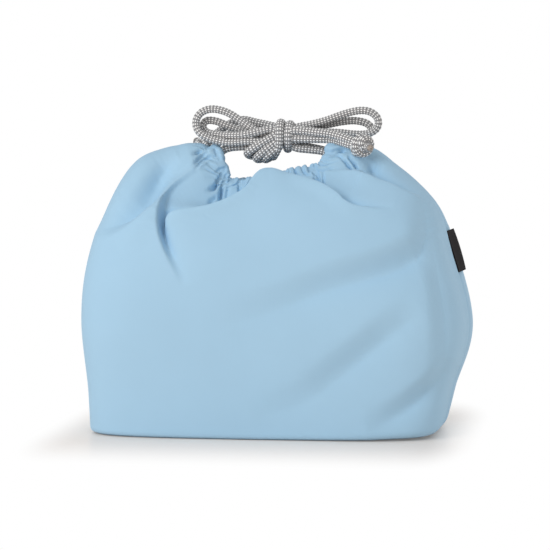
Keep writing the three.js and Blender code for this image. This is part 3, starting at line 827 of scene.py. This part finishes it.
def build_base(wall, shade):
    """Bottom cloth, drawn in to the seam round its edge and a little slack in the middle."""
    shares = np.linspace(1, BASE_MIDDLE, BASE_RINGS)
    outer = np.array([wall[0] * BASE_RIM * [s, s, s * s] + [0, 0, BASE_LIFT] for s in shares])
    inner = outer + [0, 0, CLOTH_THICKNESS]
    points = np.concatenate([inner[::-1], outer]).reshape(-1, 3)
    faces = tube_faces(2 * BASE_RINGS, CLOTH_COLUMNS)
    piece = mesh_object("base_panel_cloth", points, faces, points[:, :2], shade)
    carried(piece, "pouch", "cloth", "base_panel")


def build_tapes(wall, shade):
    """Tapes over the side seams and round the base, just inside the cloth."""
    normals = grid_normals(wall)
    deep, deeper = (wall - normals * (CLOTH_THICKNESS + depth) for depth in TAPE_FACES)
    seam = np.arange(-TAPE_COLUMNS, TAPE_COLUMNS + 1)
    tapes = {
        "right_seam_tape": (TAPE_ROWS, seam),
        "left_seam_tape": (TAPE_ROWS, seam + HALF_COLUMNS),
        "base_seam_tape": (BASE_TAPE_ROWS, np.arange(CLOTH_COLUMNS + 1)),
    }
    for name, (rows, columns) in tapes.items():
        index = columns % CLOTH_COLUMNS
        outer, inner = deep[rows][:, index], deeper[rows][:, index]
        piece = sheet_solid(f"{name}_ribbon", outer, inner, cloth_uvs(outer), shade)
        carried(piece, "pouch", "seam_tape", name)


# Braided cord. Its routes are the frame's, in millimetres


def knot_face(side, across, up):
    """Where a strand leaves the bow's knot, on its left (-1) or right (1) face."""
    inner = max(0, math.hypot(across, up) - CORD / 2) / KNOT_RADIUS
    reach = KNOT_HALF_LENGTH * math.sqrt(1 - min(inner, 1) ** 2) + KNOT_FACE_GAP
    return tuple(KNOT + [side * reach, across, up])


def inside_knot(face):
    """Point in the knot behind a face point, where a strand is hidden by the wraps."""
    return tuple(KNOT + KNOT_HIDDEN * (np.array(face) - KNOT))


def end_knot_face(centre, start, up):
    """Where a strand of a tail that comes from a point meets its stopper knot."""
    towards = unit(np.subtract(start, centre))
    upward = unit(np.array([0, 0, 1]) - towards * towards[2])
    return tuple(centre + towards * (END_KNOT_RADIUS + END_FACE_GAP) + upward * up)


LOOPS = {
    "left_loop_front": [
        knot_face(-1, -3, 0.8), (-11, -3.8, 161.8), (-17.5, -4.2, 166), (-24, -4.4, 170.2),
        (-29.5, -4.4, 172.4), (-35, -4.6, 173), (-39.6, -5.2, 171.4), (-42.2, -6, 168.2),
        (-42.6, -6.6, 164.2), (-40.6, -7, 160.4), (-36.4, -7, 157.8), (-30.6, -6.8, 156),
        (-24, -6.6, 155), (-16, -6.6, 155.6), knot_face(-1, -5.4, -2.6),
    ],
    "left_loop_back": [
        knot_face(-1, 2.4, 0.8), (-12.5, 2.4, 159.6), (-19.5, 2.2, 161.4), (-27, 1.8, 164.2),
        (-33.5, 1.2, 166.6), (-38.2, 0.4, 166.6), (-40, -0.6, 163.6), (-37.6, -1.6, 160.6),
        (-32.4, -3, 159.4), (-25, -5, 158.9), (-17.5, -6.8, 159.2), (-11, -7.2, 160.4),
        knot_face(-1, -6.2, 3.6),
    ],
    "right_loop_front": [
        knot_face(1, 0, 5.2), (18.5, 0, 164.8), (27, 0.2, 167), (36.6, 0.4, 170.4), (44.2, 0.6, 172.2),
        (50, 0.8, 171.8), (54, 1, 169), (55, 1.2, 165.2), (53.2, 1.4, 161.8), (48.6, 1.4, 159.8),
        (42, 1.2, 159.6), (34, 0.8, 160.4), (25, 0.4, 160.6), knot_face(1, 0, 0.8),
    ],
    "right_loop_back": [
        knot_face(1, 4.8, 5), (20, 5, 163.8), (27.5, 5.4, 164.8), (34.5, 5.8, 166.2), (41.5, 6.2, 166.8),
        (47.6, 6.4, 165.6), (50.6, 6.6, 162.8), (49.2, 6.8, 159.6), (44, 6.8, 158.2), (36, 6.4, 158.4),
        (26, 5.6, 159), knot_face(1, 4.8, 0.4),
    ],
}
TAILS = {
    "right_tail_upper": [
        knot_face(1, -6.4, 3.2), (22, -8, 160.9), (32, -10.2, 159.6),
        end_knot_face(RIGHT_END, RIGHT_TAIL_TURN, 0.6 * LANE),
    ],
    "right_tail_lower": [
        knot_face(1, -6, -1.2), (22, -6.4, 157.2), (32, -7.4, 156.8),
        end_knot_face(RIGHT_END, RIGHT_TAIL_TURN, -0.4 * LANE),
    ],
    "left_tail_upper": [
        knot_face(-1, 7, 5), (-12, 8.4, 165.6), (-20, 9.8, 167), (-28, 11.2, 164.4),
        end_knot_face(LEFT_END, LEFT_TAIL_TURN, LANE),
    ],
    "left_tail_lower": [
        knot_face(-1, 7, 0.4), (-12, 8.4, 161), (-20, 9.8, 162.2), (-27, 11, 159.4),
        end_knot_face(LEFT_END, LEFT_TAIL_TURN, -LANE),
    ],
}

# Stopper knots: centre, axis and the point that the tail comes from
END_KNOTS = {
    "right": (RIGHT_END, RIGHT_END_AXIS, RIGHT_TAIL_TURN),
    "left": (LEFT_END, LEFT_END_AXIS, LEFT_TAIL_TURN),
}

# Leads: out of the casing, through its slot, and to the knot
LEADS = {
    "left_lead_front": [
        (-32.6, -3, 140), (-32.2, -2.2, 145), (-30.4, -1.8, 149.6), (-26, -1.6, 152), (-18, -1.6, 152.8),
        (-10, -0.4, 152.6), knot_face(-1, 0.4, -6.4),
    ],
    "left_lead_back": [
        (-32.6, 3.2, 140), (-32.2, 2.8, 145), (-30.4, 2.8, 149.6), (-26, 2.8, 152), (-18, 3.2, 152.8),
        (-10, 4.2, 152.8), knot_face(-1, 5, -6),
    ],
    "right_lead_front": [
        (29.4, -3.2, 140), (29.2, -2.8, 145), (27.8, -2.6, 149.2), (24.6, -2.4, 150.6), (18, -2.4, 151.4),
        knot_face(1, -2.4, -6.4),
    ],
    "right_lead_back": [
        (29.4, 3.2, 140), (29.2, 2.8, 145), (27.8, 2.6, 149.6), (24.6, 2.4, 151.2), (18, 2.4, 152.6),
        knot_face(1, 2.4, -4.6),
    ],
}

# Knot of the bow: a cord that is wrapped twice round the bundle, and the strands that fan out under it
KNOT_WRAP = [
    (8.2, 3, 152.2), (7.8, 6.2, 156), (7.6, 6.1, 161.4), (7.5, 2.6, 164.7), (7.4, -2.6, 164.6),
    (7.3, -6.2, 161.2), (7.2, -6.7, 156.6), (6.8, -3.6, 152.6), (6, 1.6, 151.6), (4.6, 6, 154.8),
    (3.2, 6.3, 161), (2.6, 2.8, 165.4), (2.5, -2.8, 165.5), (2.6, -6.6, 162.2), (2.7, -7.6, 157.2),
    (2, -7.3, 152.6), (-0.2, -5.6, 148.8), (-1.4, -2, 147.4), (-0.6, 2, 149.4),
]
KNOT_FANS = {
    "high": [
        (3, -5, 160.4), (-1, -7, 158.2), (-7.6, -8, 154.4), (-13, -7.2, 151), (-15.2, -4, 149.2),
        (-13.4, -0.6, 148), (-9, 2.4, 148.8),
    ],
    "middle": [
        (3, -5.6, 157), (0, -7.2, 154.9), (-4.4, -7.9, 151.4), (-8.6, -6.8, 148), (-10.2, -3.8, 146.4),
        (-8.4, -0.4, 146.2), (-4, 2.4, 148),
    ],
    "low": [
        (3.4, -5.8, 154), (1.2, -7, 152), (-2.6, -7.4, 148.9), (-5.4, -5.2, 146.7), (-5.2, -1.8, 146),
        (-1.6, 1.4, 148),
    ],
}


def cord_path(route):
    """Even points along a route, a few for each stitch of the braid."""
    length = path_length(spline(route, CURVE_STEPS))
    return spline(route, round(length * BRAID_STEPS / BRAID_STITCH) + 1)


def braid_tube(name, path, shade, across=None, facing=None, width=CORD_WIDTH, height=CORD_HEIGHT):
    """Closed tube of braid along a path. across is the way of its width, or facing that of its flat side."""
    tangents = unit(np.gradient(path, axis=0))
    across = np.cross(tangents, facing) if across is None else np.asarray(across, dtype=float)
    across = unit(across - tangents * np.sum(across * tangents, axis=-1, keepdims=True))
    upward = np.cross(tangents, across)
    rings, sides = len(path), BRAID_STEPS * BRAID_ROWS
    row, stitch = np.meshgrid(np.arange(sides) / BRAID_STEPS, np.arange(rings) / BRAID_STEPS)
    first = 2 * ((row + stitch) % 1) - 1
    second = 2 * ((row - stitch) % 1) - 1
    relief = BRAID_RELIEF * ((1 - first**2) * (1 - second**2) - BRAID_LEVEL)
    turn = row / BRAID_ROWS * TAU
    wide = (width / 2 + relief) * np.cos(turn)
    high = (height / 2 + relief) * np.sin(turn)
    points = path[:, None] + across[:, None] * wide[..., None] + upward[:, None] * high[..., None]
    low = np.stack(np.meshgrid(np.arange(sides), np.arange(rings - 1)), axis=-1)
    corners = np.stack([low + [0, 1], low + [1, 1], low + [1, 0], low], axis=2).reshape(-1, 2)
    uvs = np.concatenate([corners / BRAID_STEPS, np.tile(CAP_UV, (2 * sides, 1))])
    return mesh_object(name, points, tube_faces(rings, sides), uvs, shade)


def build_knot(shade):
    """Wrapped middle of the bow, with its inside filled by the strands that pass through it."""
    path = cord_path(KNOT_WRAP)
    away = unit((path - WRAP_MIDDLE) * [0, 1, 1])
    wrap = braid_tube("bow_knot_wrap", path, shade, facing=away)
    pieces = [carried(wrap, "bow", "braid", "bow_knot")]
    for name, route in KNOT_FANS.items():
        path = cord_path(route)
        fan = braid_tube(f"bow_knot_fan_{name}", path, shade, facing=unit(path - FAN_MIDDLE))
        pieces.append(carried(fan, "bow", "braid"))
    core = braid_tube("bow_knot_core", cord_path(CORE_ROUTE), shade, across=LOOP_ACROSS, **CORE_SIZE)
    pieces.append(carried(core, "bow", "braid"))
    return pieces


def hold_at_knot(piece, node):
    """Bake a strand's placement into its points, in place of its node of the frame."""
    bridged(piece, node)


def build_loops(shade):
    for name, route in LOOPS.items():
        path = cord_path([inside_knot(route[0]), *route, inside_knot(route[-1])])
        piece = braid_tube(f"{name}_braid", path, shade, across=LOOP_ACROSS)
        hold_at_knot(piece, name)


def coil_path(centre, axis, towards):
    """Two turns of the stopper knot round its axis, then inward and out along it as the cut end."""
    first = unit(towards - axis * np.dot(towards, axis))
    second = np.cross(axis, first)
    share = np.linspace(0, 1, COIL_STEPS)
    turn = TAU * COIL_TURNS * share
    radius = np.linspace(*COIL_RADII, COIL_STEPS)
    for low, high, depth in COIL_TUCKS:
        radius -= depth * smoothstep(low, high, share)
    coil = np.outer(radius * np.cos(turn), first) + np.outer(radius * np.sin(turn), second)
    coil += np.outer(np.linspace(*COIL_ENDS, COIL_STEPS), axis)
    return cord_path(centre + np.vstack([coil, axis * STUB_START, axis * STUB_END]))


def melted_end(name, end, axis, shade):
    """Blunt uneven tip on the end of a cord."""
    share = np.linspace(0, 1, TIP_RINGS)
    middle = end + np.outer(share * TIP_LENGTH - TIP_SUNK, axis)
    across = unit(np.cross(axis, [0, 0, 1]))
    upward = np.cross(axis, across)
    turn = np.linspace(0, TAU, TIP_SIDES, endpoint=False)
    chance = np.random.default_rng(len(name))
    uneven = 1 + chance.uniform(-TIP_UNEVENNESS, TIP_UNEVENNESS, (TIP_RINGS, TIP_SIDES))
    shrink = np.sqrt(TIP_BLUNTNESS - share**2)[:, None] * uneven
    points = middle[:, None] + across * (TIP_HALF_WIDTH * shrink * np.cos(turn))[..., None]
    points = points + upward * (TIP_HALF_HEIGHT * shrink * np.sin(turn))[..., None]
    uvs = points.reshape(-1, 3)[:, :2]
    return mesh_object(f"{name}_melted_end", points, tube_faces(TIP_RINGS, TIP_SIDES), uvs, shade)


def build_end_knot(side, shade, tip_shade):
    """Stopper knot of a tail, with the melted end of the cord."""
    name, body = f"{side}_end_knot", f"{side}_tail"
    centre, axis, turn = END_KNOTS[side]
    axis = unit(axis)
    path = coil_path(centre, axis, np.subtract(turn, centre))
    radial = path - centre - np.outer((path - centre) @ axis, axis)
    coil = braid_tube(f"{name}_coil", path, shade, facing=unit(radial + COIL_LIFT))
    ends = cord_path(centre + np.outer(END_CORE_PLACES, axis))
    core = braid_tube(f"{name}_core", ends, shade, facing=END_CORE_FACING, **END_CORE_SIZE)
    tip = melted_end(name, path[-1], axis, tip_shade)
    return [carried(coil, body, "braid", name), carried(core, body, "braid"), carried(tip, body, "braid")]


def build_tails(shade, tip_shade):
    knots = {side: build_end_knot(side, shade, tip_shade) for side in END_KNOTS}
    for name, route in TAILS.items():
        side = name.split("_")[0]
        last = (1 - TAIL_TUCK) * np.array(route[-1]) + TAIL_TUCK * END_KNOTS[side][0]
        path = cord_path([inside_knot(route[0]), *route, tuple(last)])
        piece = braid_tube(f"{name}_braid", path, shade, across=TAIL_ACROSS)
        hold_at_knot(piece, name)
        knots.pop(side, [])


def build_leads(knot, shade):
    """Leads out of the casing to the knot. The knot's pieces are not used."""
    for name, route in LEADS.items():
        path = cord_path([*route, inside_knot(route[-1])])
        piece = braid_tube(f"{name}_braid", path, shade, across=LEAD_ACROSS)
        bridged(piece, name)


def casing_middle(casing, outside_row, inside_row):
    """Line between the two faces of the casing, evened out over its pleats."""
    line = (casing[outside_row] + casing[inside_row]) / 2
    shifts = range(-RUN_EVENING, RUN_EVENING + 1)
    return np.mean([np.roll(line, shift, axis=0) for shift in shifts], axis=0)


def build_runs(casing, shade):
    """Stretches of the two cords inside the casing: each leaves it by one slot, and passes the other."""
    runs = {"left_cord_run": (LEFT, RUN_HIGH), "right_cord_run": (RIGHT, RUN_LOW)}
    at_slot = np.abs(mouth_plan(ANGLES)[:, 1]) < CASING_SLOT / 2 + SLOT_MARGIN
    for name, (slot, rows) in runs.items():
        way = (ANGLES - slot) % TAU
        hidden = (way > RUN_START) & (way < TAU - RUN_START) & ~at_slot
        order = [i for i in np.argsort(way) if hidden[i]]
        path = cord_path(casing_middle(casing, *rows)[order[::RUN_STRIDE]])
        _, upward = mouth_axes(np.arctan2(path[:, 1], path[:, 0]))
        piece = braid_tube(f"{name}_braid", path, shade, across=upward, **RUN_SIZE)
        carried(piece, "pouch", "braid", name)


def build_cords(casing):
    braid = braid_material("grey_white_braid")
    tip = melted_material("melted_cord_end")
    build_leads(build_knot(braid), braid)
    build_loops(braid)
    build_tails(braid, tip)
    build_runs(casing, braid)


# Label in the right side seam


def label_line():
    """Section of the folded ribbon: out along one ply, round the fold and back along the other."""
    turn = np.linspace(-0.5 * math.pi, 0.5 * math.pi, LABEL_TURN_STEPS)[1:-1]
    reach = LABEL_WIDTH - LABEL_HALF_GAP
    flat = np.linspace(-LABEL_SEWN, reach, LABEL_STEPS)
    gap = np.full(LABEL_STEPS, LABEL_HALF_GAP)
    fold = (reach + LABEL_HALF_GAP * np.cos(turn), LABEL_HALF_GAP * np.sin(turn))
    parts = ((flat, -gap), fold, (flat[::-1], gap))
    return np.vstack([np.stack(part, axis=1) for part in parts])


def build_label():
    """Ribbon folded once, with its fold outward and its two ends in the seam."""
    along = unit(LABEL_AXIS)
    lean = math.radians(LABEL_LEAN)
    out = unit(np.cross([0, 1, 0], along)) * math.cos(lean) + np.array([0, math.sin(lean), 0])
    face = np.cross(out, along)
    line = label_line()
    tangents = unit(np.gradient(line, axis=0))
    normals = np.stack([tangents[:, 1], -tangents[:, 0]], axis=1)
    places = np.linspace(-LABEL_LENGTH / 2, LABEL_LENGTH / 2, LABEL_ROWS)
    bow = LABEL_BOW * (1 - (2 * places / LABEL_LENGTH) ** 2)

    def ply(offset):
        section = line + normals * offset
        share = np.clip(section[:, 0] / LABEL_WIDTH, 0, 1)[:, None, None]
        points = section[:, None, :1] * out + section[:, None, 1:] * face + places[:, None] * along
        return LABEL_SEAM + points + face * bow[:, None] * share

    uvs = np.stack(np.meshgrid(places, np.arange(len(line)) * LABEL_UV_STEP), axis=-1)
    faces = ply(LABEL_HALF_PLY), ply(-LABEL_HALF_PLY)
    piece = sheet_solid("side_label_ribbon", *faces, uvs, ribbon_material("black_ribbon"))
    bridged(piece, "side_label")


# Materials


def fill(tree, node, values):
    """Set a node's inputs to values, or link them to the outputs of other nodes. Gives its own outputs."""
    for name, value in values.items():
        if isinstance(value, bpy.types.NodeSocket):
            tree.links.new(value, node.inputs[name])
        else:
            node.inputs[name].default_value = value
    return node.outputs


def add(tree, kind, values=None, **settings):
    """New node with its settings and inputs. Gives its outputs."""
    node = tree.nodes.new(f"ShaderNode{kind}")
    for name, value in settings.items():
        setattr(node, name, value)
    return fill(tree, node, values or {})


def ramp(tree, share, colours, places):
    """Colour that passes from one to another between two places."""
    node = tree.nodes.new("ShaderNodeValToRGB")
    for element, colour, place in zip(node.color_ramp.elements, colours, places):
        element.color = linear(*colour)
        element.position = place
    return fill(tree, node, {"Fac": share})["Color"]


def bump(tree, height, strength, distance=0.0001):
    """Normal of a relief that is too fine to model."""
    return add(tree, "Bump", {"Height": height, "Strength": strength, "Distance": distance})["Normal"]


def material(name):
    """New material, with its nodes, its shader and the places that its textures can use."""
    made = bpy.data.materials.new(name)
    made.use_nodes = True
    tree = made.node_tree
    return made, tree, tree.nodes["Principled BSDF"], add(tree, "TexCoord")


def cloth_material(name, colour):
    """Matt smooth knit, a little uneven in tone. The UVs are in millimetres."""
    made, tree, shader, place = material(name)
    patches = add(tree, "TexNoise", {"Vector": place["Object"], "Scale": 38, "Detail": 3})
    tone = add(tree, "MapRange", {"Value": patches["Fac"], "To Min": 0.975, "To Max": 1.02})
    tint = add(tree, "VectorMath", {0: linear(*colour)[:3], "Scale": tone["Result"]}, operation="SCALE")
    knit = add(tree, "TexWave", {"Vector": place["UV"], "Scale": 0.55, "Distortion": 1.5, "Detail": 1})
    fill(tree, shader, {
        "Base Color": tint["Vector"],
        "Roughness": 0.86,
        "Specular IOR Level": 0.2,
        "Sheen Weight": 0.08,
        "Sheen Roughness": 0.45,
        "Normal": bump(tree, knit["Fac"], 0.12),
    })
    return made


def braid_material(name):
    """Pale and grey yarns that cross in small diamonds, with painted shade in the dark gaps between them. The
    UVs count the stitches.
    """
    made, tree, shader, place = material(name)
    diamonds = add(tree, "Mapping", {
        "Vector": place["UV"],
        "Location": (0, 0, 0.5),
        "Rotation": (0, 0, math.pi / 4),
        "Scale": (math.sqrt(2), math.sqrt(2), 1),
    })["Vector"]
    pale, grey = (linear(*colour) for colour in YARN_COLOURS)
    yarns = add(tree, "TexChecker", {"Vector": diamonds, "Color1": pale, "Color2": grey, "Scale": 1})
    split = add(tree, "SeparateXYZ", {"Vector": diamonds})
    sides = [add(tree, "Math", {0: split[axis], 1: 0.5}, operation="PINGPONG")["Value"] for axis in "XY"]
    inner = add(tree, "Math", {0: sides[0], 1: sides[1]}, operation="MINIMUM")
    # The dark gaps between the yarns are painted shade
    edge = {"Value": inner["Value"], "From Max": 0.15}
    gap = add(tree, "MapRange", edge, interpolation_type="SMOOTHSTEP")
    shades = {"Factor": gap["Result"], "A": linear(*PAINTED_GAP_SHADE_COLOUR), "B": yarns["Color"]}
    fibres = add(tree, "TexNoise", {"Vector": place["UV"], "Scale": 9, "Detail": 2})
    fill(tree, shader, {
        "Base Color": add(tree, "Mix", shades, data_type="RGBA")["Result"],
        "Roughness": 0.72,
        "Specular IOR Level": 0.3,
        "Sheen Weight": 0.15,
        "Normal": bump(tree, fibres["Fac"], 0.25),
    })
    return made


def melted_material(name):
    """Hard, slightly shiny melted yarn."""
    made, tree, shader, place = material(name)
    spots = add(tree, "TexNoise", {"Vector": place["Object"], "Scale": 900, "Detail": 3})
    fill(tree, shader, {
        "Base Color": ramp(tree, spots["Fac"], MELTED_COLOURS, (0.35, 0.65)),
        "Roughness": 0.45,
        "Normal": bump(tree, spots["Fac"], 0.4, distance=0.0002),
    })
    return made


def ribbon_material(name):
    """Woven black ribbon with fine ribs across it. The UVs are in millimetres."""
    made, tree, shader, place = material(name)
    ribs = add(tree, "TexWave", {"Vector": place["UV"], "Scale": 0.9, "Distortion": 0.6})
    fill(tree, shader, {
        "Base Color": ramp(tree, ribs["Fac"], RIBBON_COLOURS, (0, 1)),
        "Roughness": 0.75,
        "Specular IOR Level": 0.12,
        "Normal": bump(tree, ribs["Fac"], 0.35),
    })
    return made


# Studio


def seen_ray(tree):
    """1 for a ray from the camera, a mirror or glass, and 0 for light."""
    rays = add(tree, "LightPath")
    flag = rays["Is Camera Ray"]
    for name in ("Is Glossy Ray", "Is Transmission Ray"):
        flag = add(tree, "Math", {0: flag, 1: rays[name]}, operation="MAXIMUM")["Value"]
    return flag


def build_world():
    world = bpy.data.worlds.new("studio")
    bpy.context.scene.world = world
    world.use_nodes = True
    tree = world.node_tree
    strength = add(tree, "MapRange", {"Value": seen_ray(tree), "To Min": WORLD_LIGHT})
    fill(tree, tree.nodes["Background"], {"Color": (1, 1, 1, 1), "Strength": strength["Result"]})


def floor_material():
    """Pale glossy floor near the bag, which keeps its shadow, and plain white further away."""
    made, tree, shader, place = material("studio_floor")
    fill(tree, shader, {"Base Color": FLOOR_COLOUR, "Roughness": 0.3, "Specular IOR Level": 0.05})
    last = add(tree, "VectorMath", {0: place["Object"]}, operation="ABSOLUTE")["Vector"]
    steps = {"SUBTRACT": SHADOW_BOX, "MAXIMUM": (0, 0, 0), "MULTIPLY": SHADOW_SQUEEZE}
    for operation, value in steps.items():
        last = add(tree, "VectorMath", {0: last, 1: value}, operation=operation)["Vector"]
    distance = add(tree, "VectorMath", {0: last}, operation="LENGTH")["Value"]
    limits = {"Value": distance, "From Max": SHADOW_REACH, "To Min": FLOOR_WHITENESS}
    fade = add(tree, "MapRange", limits, interpolation_type="SMOOTHSTEP")["Result"]
    share = add(tree, "Math", {0: fade, 1: seen_ray(tree)}, operation="MULTIPLY")["Value"]
    white = add(tree, "Emission")["Emission"]
    mixed = add(tree, "MixShader", {"Fac": share, 1: shader.outputs["BSDF"], 2: white})
    fill(tree, tree.nodes["Material Output"], {"Surface": mixed["Shader"]})
    return made


def build_floor():
    mesh = bpy.data.meshes.new("floor")
    corners = [(x * FLOOR_SIZE, y * FLOOR_SIZE, 0) for x, y in ((-1, -1), (1, -1), (1, 1), (-1, 1))]
    mesh.from_pydata(corners, [], [[0, 1, 2, 3]])
    mesh.materials.append(floor_material())
    floor = placed("floor", mesh)
    floor.location = FLOOR_SHIFT


def direction_euler(direction):
    """Rotation of a lamp or a camera that looks along a direction."""
    x, y, z = direction
    return (math.atan2(math.hypot(x, y), -z), 0, math.atan2(y, x) - math.pi / 2)


def softbox(name, place, size, power):
    """Square lamp that looks at the bag."""
    lamp = bpy.data.lights.new(name, "AREA")
    lamp.size = size
    lamp.energy = power
    held = placed(name, lamp)
    held.location = place
    held.rotation_euler = direction_euler(LAMP_TARGET - place)


def build_camera():
    camera = bpy.data.cameras.new("camera")
    camera.sensor_width = SENSOR_WIDTH
    camera.lens = SENSOR_WIDTH * VIEW_DISTANCE / VIEW_WIDTH
    camera.clip_end = 100
    held = placed("camera", camera)
    turn, rise = math.radians(VIEW_AZIMUTH), math.radians(VIEW_ELEVATION)
    back = np.array([math.sin(turn) * math.cos(rise), -math.cos(turn) * math.cos(rise), math.sin(rise)])
    held.location = (np.array(VIEW_TARGET) + back * VIEW_DISTANCE) * MM
    held.rotation_euler = direction_euler(-back)
    bpy.context.scene.camera = held


def build_studio():
    bpy.context.scene.view_settings.view_transform = "Standard"
    build_world()
    build_floor()
    softbox("key", *KEY_LAMP)
    softbox("fill", *FILL_LAMP)
    build_camera()


def main():
    cloth = cloth_material("blue_cloth", CLOTH_COLOUR)
    casing_cloth = cloth_material("blue_casing_cloth", CASING_COLOUR)
    tape = cloth_material("seam_tape_cloth", TAPE_COLOUR)
    wall, casing = build_cloth(cloth, casing_cloth)
    build_base(wall, cloth)
    build_tapes(wall, tape)
    build_cords(casing)
    build_label()
    build_studio()


main()
